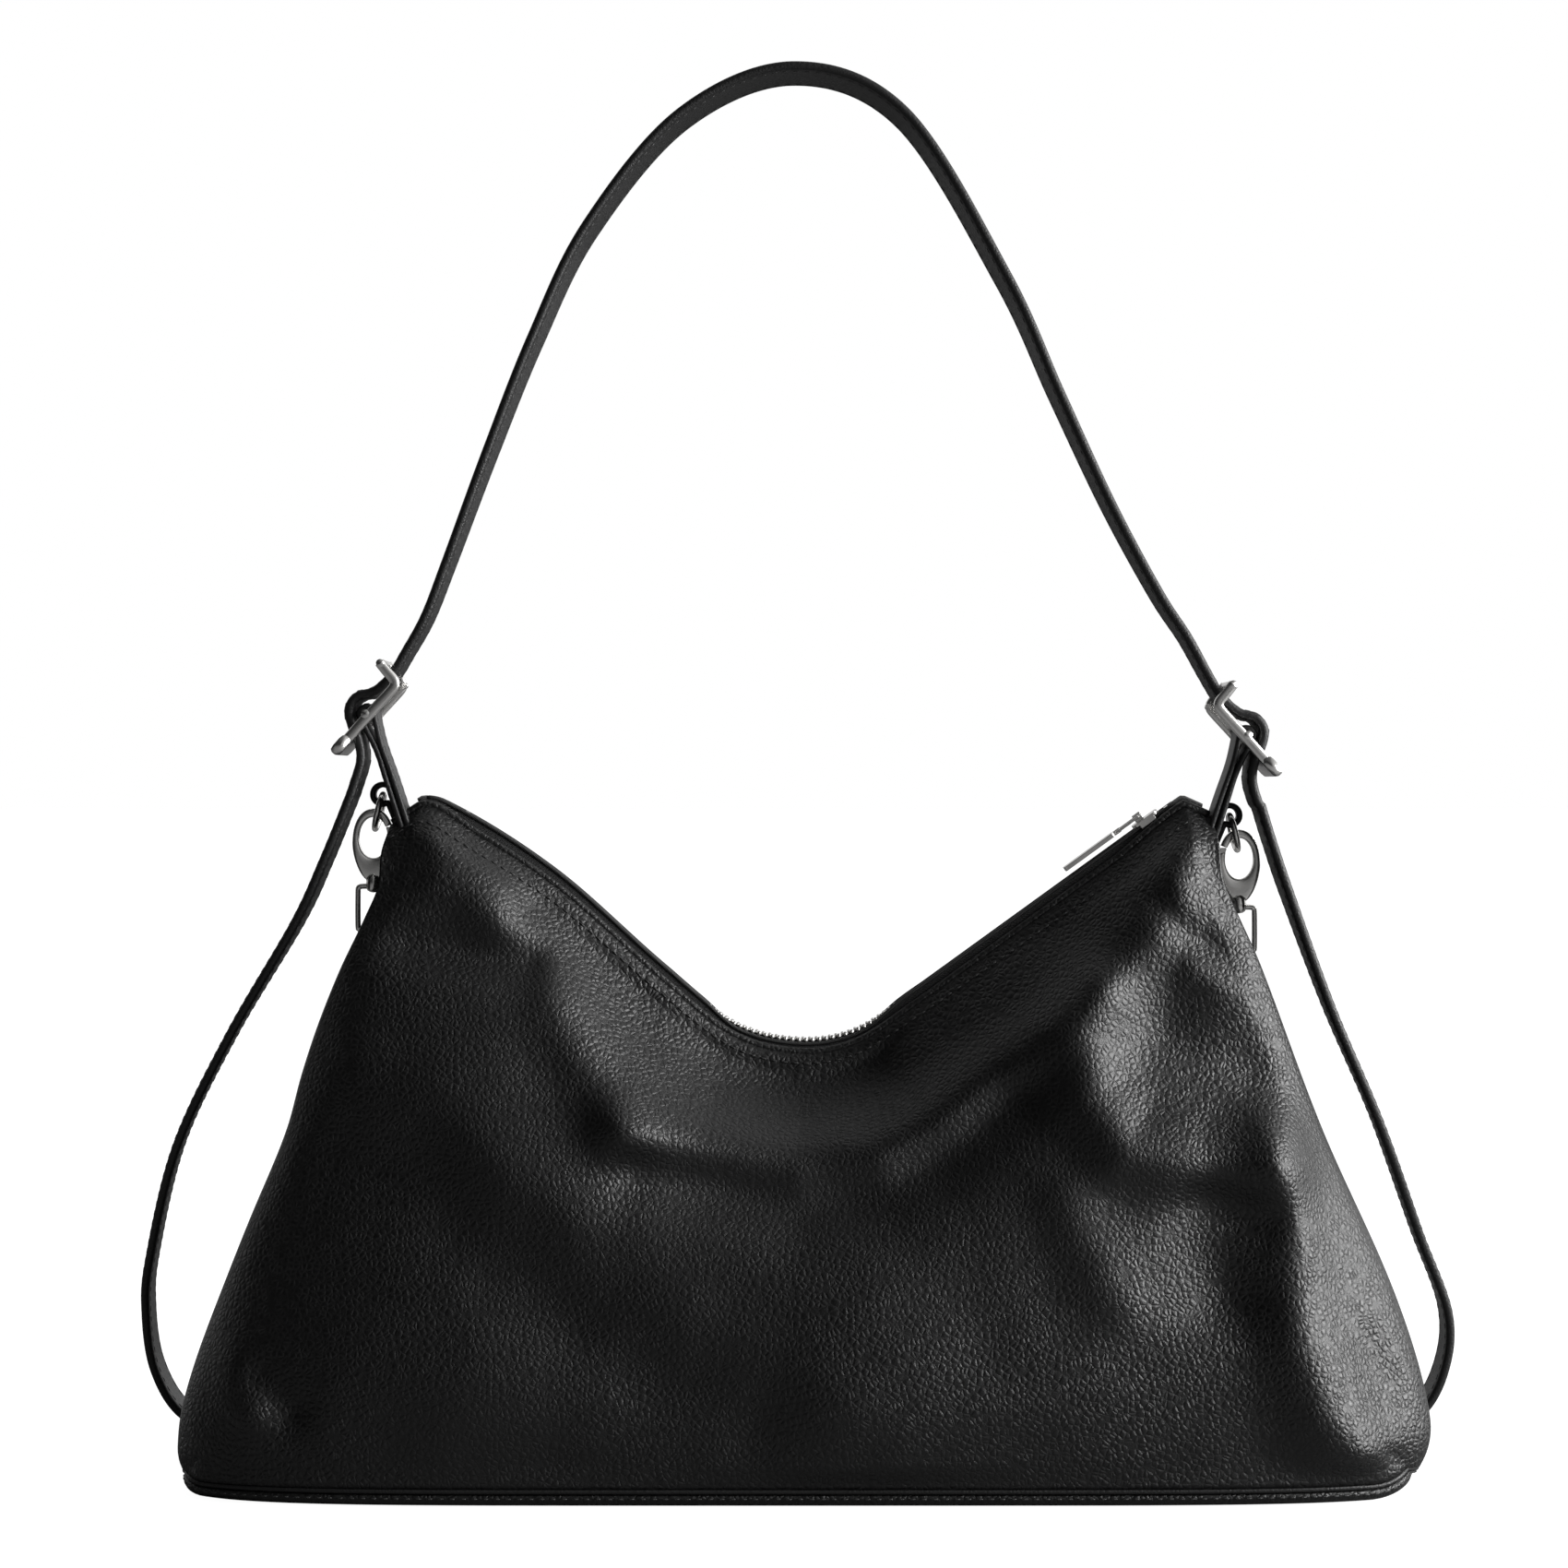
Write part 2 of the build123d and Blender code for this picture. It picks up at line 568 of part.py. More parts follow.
def hook_loop(side):
    """Wire loop that joins the hook's swivel to the leather tab in the side fold."""
    x, low = LOOP_BAR
    left, right = x - LOOP_HALF_WIDTH, x + LOOP_HALF_WIDTH
    corners = [(left, HOOK_Y, low), (right, HOOK_Y, low), (right, HOOK_Y, LOOP_TOP), (left, HOOK_Y, LOOP_TOP)]
    loop = wire_frame(corners, LOOP_WIRE)
    loop += Pos(x, HOOK_Y, LOOP_TOP) * Cylinder(1.7, 3.2)
    loop -= Pos(x, HOOK_Y, LOOP_TOP) * Cylinder(STUD_RADIUS + FIT, 5)
    return to_side(side, loop)


def side_tab(side):
    """Leather tab folded over the wire loop's lower bar, sewn into the side fold."""
    x, z = LOOP_BAR
    fold = arc_points((HOOK_Y, z), LOOP_WIRE + FIT + 0.75, 180, 0, 7)
    path = [(HOOK_Y - 1.7, z - 14), (HOOK_Y - 1.7, z - 8)] + fold + [(HOOK_Y + 1.7, z - 8), (HOOK_Y + 1.7, z - 14)]
    strip = Rot(0, 0, 90) * ribbon(path, 1.5, 2 * LOOP_HALF_WIDTH - 2.4, -x)
    return to_side(side, strip)


# ---- every node ------------------------------------------------------------------------------
def build():
    nodes = {
        "front_panel": wall(FRONT, 0, LEATHER),
        "back_panel": wall(BACK, 0, LEATHER),
        "base_panel": base_panel(),
        "base_piping": base_piping(),
        "base_board": base_board(),
        "lining_front": wall(FRONT, LEATHER + LINING_GAP, LINING, across=(-0.84, 0.84), up=(0, 0.92)),
        "lining_back": wall(BACK, LEATHER + LINING_GAP, LINING, across=(-0.84, 0.84), up=(0, 0.92)),
        "inner_pocket": inner_pocket(),
        "zip_tape_front": zip_tape(FRONT),
        "zip_tape_back": zip_tape(BACK),
        "zip_teeth_front": chain(FRONT),
        "zip_teeth_back": chain(BACK),
        "zip_stops": zip_stops(),
        "zip_end_left": zip_end(CAP_LEFT_X),
        "zip_end_right": zip_end(CAP_RIGHT_X),
        "zip_slider": zip_slider(),
        "pull_loop": pull_loop(),
        "zip_pull": zip_pull(),
        "shoulder_strap": shoulder_strap(),
    }
    for side, name in SIDE_NAMES.items():
        tab = tab_loop(side)
        nodes["gusset_" + name] = gusset(side)
        nodes["strap_side_" + name] = strap_side(side)
        nodes["strap_anchor_" + name] = strap_anchor(side)
        nodes["tab_root_" + name] = below(tab, SEWN_TOP)
        nodes["buckle_tab_" + name] = swinging(tab)
        nodes["buckle_frame_" + name] = buckle_frame(side)
        nodes["buckle_prong_" + name] = buckle_prong(side)
        nodes["ring_loop_" + name] = ring_loop(side)
        nodes["ring_" + name] = ring(side)
        nodes["hook_body_" + name] = hook_body(side)
        nodes["hook_gate_" + name] = hook_gate(side)
        nodes["hook_loop_" + name] = hook_loop(side)
        nodes["side_tab_" + name] = side_tab(side)
    return nodes


os.makedirs("parts", exist_ok=True)
for node_name, solid in build().items():
    export_step(solid, "parts/" + node_name + ".step")
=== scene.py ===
from math import cos, pi, radians, sin, sqrt

import bmesh
import bpy
import numpy as np
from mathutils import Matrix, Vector, noise


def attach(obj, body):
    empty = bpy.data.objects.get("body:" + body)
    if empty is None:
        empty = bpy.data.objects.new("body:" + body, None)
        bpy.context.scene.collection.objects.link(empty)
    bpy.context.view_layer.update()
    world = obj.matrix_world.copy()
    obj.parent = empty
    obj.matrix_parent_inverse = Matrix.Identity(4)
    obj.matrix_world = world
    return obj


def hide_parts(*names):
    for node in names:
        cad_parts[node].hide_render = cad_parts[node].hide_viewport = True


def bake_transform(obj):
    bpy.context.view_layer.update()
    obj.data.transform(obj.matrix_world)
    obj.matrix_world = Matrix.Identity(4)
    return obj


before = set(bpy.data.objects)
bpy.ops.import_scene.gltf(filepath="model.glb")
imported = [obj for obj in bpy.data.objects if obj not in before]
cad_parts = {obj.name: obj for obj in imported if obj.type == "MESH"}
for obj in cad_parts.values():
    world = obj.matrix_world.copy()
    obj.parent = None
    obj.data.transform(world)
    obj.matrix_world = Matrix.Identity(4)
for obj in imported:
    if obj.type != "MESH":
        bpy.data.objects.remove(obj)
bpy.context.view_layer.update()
MM = 0.001

# ---- the bag's own sizes, in millimetres, as the frame has them ----
LEATHER = 2.2             # thickness of the walls
BASE_HALF = 190.0         # half the length of the base
PANEL_BOTTOM = 5.6        # where the walls start, above the upturned edge of the base
CORNER_HEIGHT = 206.0
TOP_LEAN = 2.5            # how far the top leans to the right
ZIP_EDGE_DROP = 3.6       # from the teeth down to the leather's edge
STRAP_WIDTH = 18.0
STRAP_THICKNESS = 2.8
STRAP_Y = -2.0            # the strap's middle plane
STITCH_INSET = 2.4        # from the strap's edge to its rows of stitches
HOOK_X = 131.6            # centre line of the left hook, measured outward
HOOK_Y = 8.3              # the hooks hang behind the strap
RIGHT_SHIFT = (5.2, -6.5)  # the right hardware hangs further out and lower than the left
TOOTH_PITCH = 2.07
FRONT, BACK, LEFT, RIGHT = -1, 1, -1, 1
SIDES = {LEFT: "left", RIGHT: "right"}

# Curves over height in millimetres, or over the share of the wall's height from 0 to 1.
HALF_WIDTHS = [(0, 190), (25, 190), (60, 180), (110, 158), (160, 138.8), (178, 130.6),
               (187, 126.8), (198, 125.8), (206, 124.0)]
DEPTHS = [(0, 54), (0.2, 56), (0.5, 49), (0.75, 34), (0.9, 18), (1, 6.5)]
EDGE_DEPTHS = [(0, 27), (0.12, 24), (0.3, 21), (0.6, 19), (0.85, 18), (0.95, 15), (1, 6)]
# How far the slumped left side stands in from the mirror of the right one.
LEFT_SHIFT = [(0, 3.0), (20, 4.0), (60, 5.0), (90, 3.2), (112, 1.8), (128, -0.5), (145, -1.7),
              (175, -2.2), (195, -3.2), (206, -3.4)]
SIDE_FOLD = [(0, 1), (0.3, 8), (0.6, 18), (0.85, 19), (0.95, 12), (1, 3)]
ZIP_CURVE = [(-121, 208), (-109, 206.6), (-75, 185.5), (-41, 155.7), (-20, 139.2),
             (0, 134), (18, 137), (38, 150)]
ZIP_LEG_END = (130.0, 216.5)
ZIP_SLOPE = (ZIP_LEG_END[1] - ZIP_CURVE[-1][1]) / (ZIP_LEG_END[0] - ZIP_CURVE[-1][0])
ZIP_LOW, ZIP_HIGH = -101.0, 112.6     # first and last tooth


def smooth(points, at):
    """Smooth curve through points, each slope the average beside it."""
    at = min(max(at, points[0][0]), points[-1][0])
    last = len(points) - 1
    i = next(k for k in range(last) if at <= points[k + 1][0])
    slopes = []
    for k in (i, i + 1):
        before, after = points[max(k - 1, 0)], points[min(k + 1, last)]
        slopes.append((after[1] - before[1]) / (after[0] - before[0]))
    (x0, y0), (x1, y1) = points[i], points[i + 1]
    span = x1 - x0
    t = (at - x0) / span
    rise = (2 * t**3 - 3 * t**2 + 1) * y0 + (3 * t**2 - 2 * t**3) * y1
    return rise + (t**3 - 2 * t**2 + t) * span * slopes[0] + (t**3 - t**2) * span * slopes[1]


def zip_height(x):
    """Height of the zip's teeth: a sagging curve and a straight right leg."""
    if x >= ZIP_CURVE[-1][0]:
        return ZIP_CURVE[-1][1] + (x - ZIP_CURVE[-1][0]) * ZIP_SLOPE
    return smooth(ZIP_CURVE, x)


def edge_height(x):
    """Height of the leather's top edge, closer to the zip at its two ends."""
    rise = min(max((abs(x) - 96) / 18, 0), 1)
    drop = ZIP_EDGE_DROP - 2.0 * rise * rise * (3 - 2 * rise)
    corner = 206.5 - max(x - 118, 0) * 0.45 - max(-x - 115, 0) * 0.65
    return min(zip_height(x) - drop, corner)


def round_corner(point):
    """Round off the lower corners: the soft base curls up at both ends."""
    radius = 20.0 if point.x > 0 else 13.0
    out = abs(point.x) - (BASE_HALF - radius)
    down = radius - point.z
    if out <= 0 or down <= 0:
        return point
    pull = max(out, down) / sqrt(out * out + down * down)
    pull = 1 - (1 - pull) * 0.85
    x = (BASE_HALF - radius + out * pull) * (1 if point.x > 0 else -1)
    return Vector((x, point.y, radius - down * pull))


def shell_point(side, u, v, inset=0.0, push=0.0):
    """Point of the front or back wall: u -1..1 across, v 0..1 up, push outward."""
    edge_z = PANEL_BOTTOM + (CORNER_HEIGHT - PANEL_BOTTOM) * v
    leftness = max(-u, 0)**2
    half = smooth(HALF_WIDTHS, edge_z) - inset
    top_half = smooth(HALF_WIDTHS, CORNER_HEIGHT) - inset
    x = u * half + TOP_LEAN * v**2 + leftness * smooth(LEFT_SHIFT, edge_z)
    top = edge_height(u * top_half + TOP_LEAN + leftness * LEFT_SHIFT[-1][1])
    z = PANEL_BOTTOM + (top - PANEL_BOTTOM) * v
    edge = smooth(EDGE_DEPTHS, v)
    crown = sqrt(max(1 - abs(u)**(6 - 3 * min(v / 0.3, 1)), 0))
    depth = edge + (smooth(DEPTHS, v) - edge) * crown
    return round_corner(Vector((x, side * (max(depth - inset, 0.8) + push), z)))


def spread(count, low=-1.0, high=1.0):
    """Evenly spaced numbers from low to high."""
    return [low + (high - low) * i / (count - 1) for i in range(count)]


# ---- folds of the slack leather ---------------------------
# Each row is (height, width, [(x, z) ...]): a ridge (+) or a hollow (-) along a line on a wall.
FRONT_FOLDS = [
    (4.2, 11, [(-107, 198), (-94, 184), (-80, 166), (-68, 141), (-57, 120), (-50, 110)]),
    (4.6, 9, [(-52, 111), (-28, 105), (0, 101), (24, 104), (46, 117), (66, 133), (88, 152)]),
    (-3.0, 9, [(-46, 97), (-28, 91), (0, 86), (26, 90), (48, 104), (62, 117)]),
    (-3.8, 9.5, [(-80, 174), (-60, 155), (-42, 138), (-22, 123.5), (2, 118.5), (26, 124)]),
    (-2.0, 12, [(30, 122), (58, 144)]),
    (-3.4, 7, [(-130, 166), (-106, 163), (-82, 159)]),
    (2.0, 9, [(-108, 182), (-92, 173)]),
    (1.2, 13, [(-130, 126), (-106, 120), (-84, 104), (-68, 86)]),
    (-2.8, 15, [(-140, 102), (-114, 92), (-92, 74), (-68, 54), (-40, 36), (-16, 26)]),
    (7.0, 12, [(120, 188), (104, 168), (92, 152), (85, 138), (86, 120), (97, 105), (120, 99), (146, 102)]),
    (-3.0, 12, [(112, 136), (136, 128)]),
    (2.6, 24, [(68, 132), (72, 108)]),
    (7.5, 13, [(146, 108), (145, 90), (148, 70), (149, 48), (156, 28), (166, 14)]),
    (-3.0, 8, [(122, 90), (138, 84)]),
    (2.4, 10, [(80, 90), (88, 74), (95, 60)]),
    (-2.8, 12, [(118, 86), (124, 62)]),
    (-3.0, 6, [(172, 46), (178, 32)]),
    (-3.0, 7, [(-160, 36), (-150, 28)]),
    (3.0, 9, [(-172, 42), (-162, 30)]),
    (3.0, 40, [(16, 34)]),
    (-1.6, 5, [(133, 160), (118, 168), (110, 176)]),
    (2.0, 6, [(134, 150), (120, 156)]),
]
BACK_FOLDS = [
    (6.0, 11, [(-104, 198), (-84, 172), (-66, 140), (-50, 112)]),
    (6.0, 11, [(112, 200), (94, 170), (72, 138), (48, 110)]),
    (5.0, 12, [(-50, 108), (0, 94), (48, 108)]),
    (-6.0, 10, [(-46, 94), (0, 82), (44, 94)]),
    (-6.0, 14, [(-128, 104), (-92, 72), (-52, 36)]),
    (5.0, 14, [(130, 96), (112, 58), (118, 24)]),
    (-5.5, 12, [(92, 92), (86, 56), (70, 30)]),
    (4.0, 12, [(-150, 60), (-132, 34)]),
    (-4.0, 7, [(-122, 168), (-96, 158)]),
    (-4.0, 7, [(126, 160), (104, 150)]),
    (4.0, 36, [(-20, 34)]),
]


def fold_push(folds, x, z):
    """How far the leather stands out at (x, z): the sum of its ridges and hollows."""
    total = 0.0
    here = np.array((x, z), float)
    for height, width, line in folds:
        points = np.array(line, float)
        if len(points) == 1:
            distance = np.hypot(*(here - points[0]))
        else:
            starts, spans = points[:-1], points[1:] - points[:-1]
            share = ((here - starts) * spans).sum(1) / (spans**2).sum(1)
            nearest = starts + spans * np.clip(share, 0, 1)[:, None]
            distance = np.hypot(*(nearest - here).T).min()
        total += height * np.exp(-(distance / width)**2)
    return float(total)


def slack(side, u, v, x, z):
    """Fold height at a place on a wall, fading out to the seams."""
    fade = 1.0
    for distance, reach in ((1 - v, 0.055), (v, 0.06), (1 - abs(u), 0.14)):
        t = min(1.0, distance / reach)
        fade *= t * t * (3 - 2 * t)
    folds = FRONT_FOLDS if side == FRONT else BACK_FOLDS
    seed = Vector((x * 0.02, side * 3.0, z * 0.02))
    ripple = noise.noise(seed) * 1.6 + noise.noise(seed * 3.1) * 0.5
    return (fold_push(folds, x, z) + ripple) * fade


# ---- mesh helpers -----------------------------------------
ACROSS = Vector((0, 1, 0))     # from the front of the bag to its back


def make_object(name, verts, faces, smooth_shade=True):
    """Mesh object from points in millimetres."""
    mesh = bpy.data.meshes.new(name)
    mesh.from_pydata([Vector(p) * MM for p in verts], [], faces)
    mesh.validate()
    mesh.update()
    obj = bpy.data.objects.new(name, mesh)
    bpy.context.scene.collection.objects.link(obj)
    if smooth_shade:
        mesh.polygons.foreach_set("use_smooth", [True] * len(mesh.polygons))
    return obj


def fix_normals(obj):
    """Turn every face outward."""
    work = bmesh.new()
    work.from_mesh(obj.data)
    bmesh.ops.recalc_face_normals(work, faces=work.faces)
    work.to_mesh(obj.data)
    work.free()
    return obj


def grid_faces(rows, columns, close_rows=False, close_columns=False, base=0):
    """Faces of a grid of points, closed round either way on request."""
    faces = []
    for i in range(rows if close_rows else rows - 1):
        for j in range(columns if close_columns else columns - 1):
            a, b = i % rows, (i + 1) % rows
            c, d = j % columns, (j + 1) % columns
            near, far = base + a * columns, base + b * columns
            faces.append((near + c, far + c, far + d, near + d))
    return faces


def sheet(name, outer, inner):
    """Closed leather or cloth sheet between two grids of points."""
    rows, columns = len(outer), len(outer[0])
    count = rows * columns
    verts = [p for row in outer for p in row] + [p for row in inner for p in row]
    faces = grid_faces(rows, columns) + [f[::-1] for f in grid_faces(rows, columns, base=count)]
    rim = [(0, j) for j in range(columns)] + [(i, columns - 1) for i in range(1, rows)]
    rim += [(rows - 1, j) for j in range(columns - 2, -1, -1)] + [(i, 0) for i in range(rows - 2, 0, -1)]
    ids = [i * columns + j for i, j in rim]
    for a, b in zip(ids, ids[1:] + ids[:1]):
        faces.append((a, b, b + count, a + count))
    return fix_normals(make_object(name, verts, faces))


def resample(points, step):
    """Evenly spaced points on a smooth curve through 3-D points."""
    dense = []
    count = len(points)
    for i in range(count - 1):
        p0, p1, p2, p3 = (Vector(points[min(max(k, 0), count - 1)]) for k in (i - 1, i, i + 1, i + 2))
        for t in spread(17, 0.0, 1.0)[:-1]:
            dense.append(0.5 * (2 * p1 + (p2 - p0) * t + (2 * p0 - 5 * p1 + 4 * p2 - p3) * t**2
                                + (3 * p1 - p0 - 3 * p2 + p3) * t**3))
    dense.append(Vector(points[-1]))
    lengths = [0.0]
    for a, b in zip(dense, dense[1:]):
        lengths.append(lengths[-1] + (b - a).length)
    total = lengths[-1]
    count = max(int(round(total / step)), 2)
    out, k = [], 0
    for i in range(count + 1):
        want = total * i / count
        while k < len(lengths) - 2 and lengths[k + 1] < want:
            k += 1
        part = (want - lengths[k]) / max(lengths[k + 1] - lengths[k], 1e-9)
        out.append(dense[k].lerp(dense[k + 1], min(part, 1.0)))
    return out


def frames_along(points, across, twist=None):
    """Tangent, across and normal directions at each point."""
    out = []
    count = len(points)
    for i in range(count):
        tangent = (points[min(i + 1, count - 1)] - points[max(i - 1, 0)]).normalized()
        side = (across - tangent * across.dot(tangent)).normalized()
        normal = tangent.cross(side)
        if twist:
            angle = twist(i / (count - 1))
            side, normal = side * cos(angle) + normal * sin(angle), normal * cos(angle) - side * sin(angle)
        out.append((tangent, side, normal))
    return out


def strap_section(width, thickness):
    """Outline of a strap: flat faces, rounded painted edges."""
    half_w, half_t = width / 2, thickness / 2
    flat = half_w - half_t * 0.8
    section = []
    for angle in spread(7, -pi / 2, pi / 2):
        section.append((flat + half_t * 0.8 * cos(angle), half_t * sin(angle)))
    for s in (0.6, 0.0, -0.6):
        section.append((flat * s, half_t))
    for angle in spread(7, pi / 2, 3 * pi / 2):
        section.append((-flat + half_t * 0.8 * cos(angle), half_t * sin(angle)))
    for s in (-0.6, 0.0, 0.6):
        section.append((flat * s, -half_t))
    return section


def sweep(name, points, frames, section, closed=False):
    """Sweep a section along points."""
    verts = []
    for point, (_, side, normal) in zip(points, frames):
        verts += [point + side * a + normal * b for a, b in section]
    size = len(section)
    faces = grid_faces(len(points), size, close_rows=closed, close_columns=True)
    if not closed:
        faces.append(tuple(range(size)))
        faces.append(tuple(range(len(verts) - size, len(verts))))
    return fix_normals(make_object(name, verts, faces))


def circle_section(radius, count=12):
    """Outline of a round wire."""
    turns = [2 * pi * k / count for k in range(count)]
    return [(radius * cos(a), radius * sin(a)) for a in turns]


def tube(name, points, radius, closed=False, across=ACROSS, count=12):
    """Round wire, cord or welt along points."""
    if closed:
        total = len(points)
        frames = []
        for i in range(total):
            tangent = (points[(i + 1) % total] - points[i - 1]).normalized()
            side = (across - tangent * across.dot(tangent)).normalized()
            frames.append((tangent, side, tangent.cross(side)))
    else:
        frames = frames_along(points, across)
    return sweep(name, points, frames, circle_section(radius, count), closed)


STITCH_PROFILE = [(-0.5, 0.35, -0.5), (-0.3, 1.0, 0.6), (0.3, 1.0, 0.6), (0.5, 0.35, -0.5)]


def stitches(name, points, outward, spacing=3.3, length=2.3, radius=0.26, sunk=0.75):
    """Row of thread stitches along points that lie on a surface."""
    verts, faces = [], []
    walked, due = 0.0, spacing / 2
    for i in range(len(points) - 1):
        a, b = points[i], points[i + 1]
        step = (b - a).length
        while walked + step >= due and step > 0:
            middle = a.lerp(b, (due - walked) / step)
            along = (b - a).normalized()
            up = (outward[i] - along * outward[i].dot(along)).normalized()
            side = along.cross(up)
            base = len(verts)
            for t, swell, lift in STITCH_PROFILE:
                centre = middle + along * length * t + up * (radius * (lift - sunk))
                for k in range(6):
                    angle = k * pi / 3
                    verts.append(centre + (side * cos(angle) + up * sin(angle)) * radius * swell)
            faces += grid_faces(4, 6, close_columns=True, base=base)
            faces += [tuple(range(base, base + 6)), tuple(range(base + 18, base + 24))]
            due += spacing
        walked += step
    return fix_normals(make_object(name, verts, faces))


def replace_nodes(piece, slot, material, *nodes):
    """Give a piece its material, and hide the CAD nodes it stands for; the slot argument is not used."""
    piece.data.materials.clear()
    piece.data.materials.append(material)
    if nodes:
        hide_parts(*nodes)
    return piece


# ---- materials --------------------------------------------
class Nodes:
    """Short way to build one node material."""

    def __init__(self, name):
        self.material = bpy.data.materials.new(name)
        self.material.use_nodes = True
        self.tree = self.material.node_tree
        self.shader = self.tree.nodes["Principled BSDF"]

    def add(self, kind, **values):
        node = self.tree.nodes.new(kind)
        for key, value in values.items():
            if hasattr(node, key):
                setattr(node, key, value)
            else:
                node.inputs[key.replace("_", " ")].default_value = value
        return node

    def link(self, source, target):
        self.tree.links.new(source, target)

    def math(self, operation, a, b=None):
        node = self.add("ShaderNodeMath", operation=operation)
        for socket, value in zip(node.inputs, (a, b)):
            if value is None:
                continue
            if isinstance(value, (int, float)):
                socket.default_value = value
            else:
                self.link(value, socket)
        return node.outputs[0]

    def ramp(self, source, low, high, out_low=0.0, out_high=1.0):
        node = self.add("ShaderNodeMapRange")
        node.inputs["From Min"].default_value = low
        node.inputs["From Max"].default_value = high
        node.inputs["To Min"].default_value = out_low
        node.inputs["To Max"].default_value = out_high
        self.link(source, node.inputs["Value"])
        return node.outputs[0]

    def mix_color(self, factor, dark, light):
        node = self.add("ShaderNodeMix", data_type="RGBA")
        node.inputs[6].default_value = (*dark, 1)
        node.inputs[7].default_value = (*light, 1)
        self.link(factor, node.inputs[0])
        return node.outputs[2]

    def bump(self, height, strength, distance, normal=None):
        node = self.add("ShaderNodeBump")
        node.inputs["Strength"].default_value = strength
        node.inputs["Distance"].default_value = distance
        self.link(height, node.inputs["Height"])
        if normal is not None:
            self.link(normal, node.inputs["Normal"])
        return node.outputs[0]


def leather_material(name, cell, depth, dark, light, rough):
    """Pebbled leather: swollen cells with fine creases between them, and wear in the grain; its colour has
    painted shade, darker in the creases and lighter on the pebbles' crowns.
    """
    n = Nodes(name)
    place = n.add("ShaderNodeTexCoord").outputs["Object"]
    warp = n.add("ShaderNodeTexNoise", Scale=0.35 / cell, Detail=2.0)
    n.link(place, warp.inputs["Vector"])
    offset = n.add("ShaderNodeVectorMath", operation="SCALE")
    offset.inputs["Scale"].default_value = cell * 0.22
    n.link(warp.outputs["Color"], offset.inputs[0])
    bent = n.add("ShaderNodeVectorMath", operation="ADD")
    n.link(place, bent.inputs[0])
    n.link(offset.outputs[0], bent.inputs[1])
    crease = n.add("ShaderNodeTexVoronoi", feature="DISTANCE_TO_EDGE", Scale=1.0 / cell)
    n.link(bent.outputs[0], crease.inputs["Vector"])
    small = n.add("ShaderNodeTexVoronoi", feature="DISTANCE_TO_EDGE", Scale=2.3 / cell)
    n.link(bent.outputs[0], small.inputs["Vector"])
    cells = n.add("ShaderNodeTexVoronoi", feature="F1", Scale=1.0 / cell)
    n.link(bent.outputs[0], cells.inputs["Vector"])
    squared = n.math("MULTIPLY", cells.outputs["Distance"], cells.outputs["Distance"])
    dome = n.ramp(squared, 0.0, 0.62, 1.0, 0.0)
    groove = n.ramp(crease.outputs["Distance"], 0.0, 0.28)
    pebble = n.math("MULTIPLY", n.math("ADD", dome, 0.6), n.math("POWER", groove, 0.7))
    pebble = n.math("MULTIPLY", pebble, 0.62)
    minor = n.ramp(small.outputs["Distance"], 0.0, 0.25)
    broad = n.add("ShaderNodeTexNoise", Scale=14.0, Detail=3.0)
    n.link(place, broad.inputs["Vector"])
    pores = n.add("ShaderNodeTexNoise", Scale=6.0 / cell, Detail=3.0)
    n.link(place, pores.inputs["Vector"])
    grain = n.math("MULTIPLY", pebble, n.ramp(broad.outputs["Fac"], 0.3, 0.7, 0.55, 1.0))
    height = n.math("ADD", grain, n.math("MULTIPLY", minor, 0.1))
    normal = n.bump(height, 0.75, depth)
    normal = n.bump(pores.outputs["Fac"], 0.12, depth * 0.35, normal)
    n.link(normal, n.shader.inputs["Normal"])
    # Painted shade: the base colour is darkest in the creases between pebbles and lightest on their
    # crowns; the broad noise varies it at random.
    crease_shade_tone = n.math("MULTIPLY", pebble, n.ramp(broad.outputs["Fac"], 0.35, 0.65, 0.7, 1.0))
    n.link(n.mix_color(crease_shade_tone, dark, light), n.shader.inputs["Base Color"])
    n.link(n.ramp(grain, 0.0, 1.0, rough + 0.14, rough), n.shader.inputs["Roughness"])
    n.shader.inputs["Specular IOR Level"].default_value = 0.5
    return n.material


def metal_material(name, color, rough):
    """Polished nickel with faint brushing, fingerprints and softened corners."""
    n = Nodes(name)
    place = n.add("ShaderNodeTexCoord").outputs["Object"]
    smear = n.add("ShaderNodeTexNoise", Scale=160.0, Detail=4.0)
    n.link(place, smear.inputs["Vector"])
    fine = n.add("ShaderNodeTexNoise", Scale=2400.0, Detail=2.0)
    n.link(place, fine.inputs["Vector"])
    n.shader.inputs["Metallic"].default_value = 1.0
    darker = tuple(c * 0.82 for c in color)
    n.link(n.mix_color(smear.outputs["Fac"], darker, color), n.shader.inputs["Base Color"])
    n.link(n.ramp(smear.outputs["Fac"], 0.3, 0.75, rough, rough + 0.1), n.shader.inputs["Roughness"])
    bevel = n.add("ShaderNodeBevel", samples=4)
    bevel.inputs["Radius"].default_value = 0.00035
    n.link(n.bump(fine.outputs["Fac"], 0.05, 0.00004, bevel.outputs[0]), n.shader.inputs["Normal"])
    return n.material


def thread_material(name, dark, light):
    """Waxed sewing thread with a twist."""
    n = Nodes(name)
    place = n.add("ShaderNodeTexCoord").outputs["Object"]
    twist = n.add("ShaderNodeTexWave", Scale=900.0, Distortion=1.5)
    twist.bands_direction = "DIAGONAL"
    n.link(place, twist.inputs["Vector"])
    n.link(n.mix_color(twist.outputs["Fac"], dark, light), n.shader.inputs["Base Color"])
    n.link(n.bump(twist.outputs["Fac"], 0.4, 0.0001), n.shader.inputs["Normal"])
    n.shader.inputs["Roughness"].default_value = 0.5
    return n.material


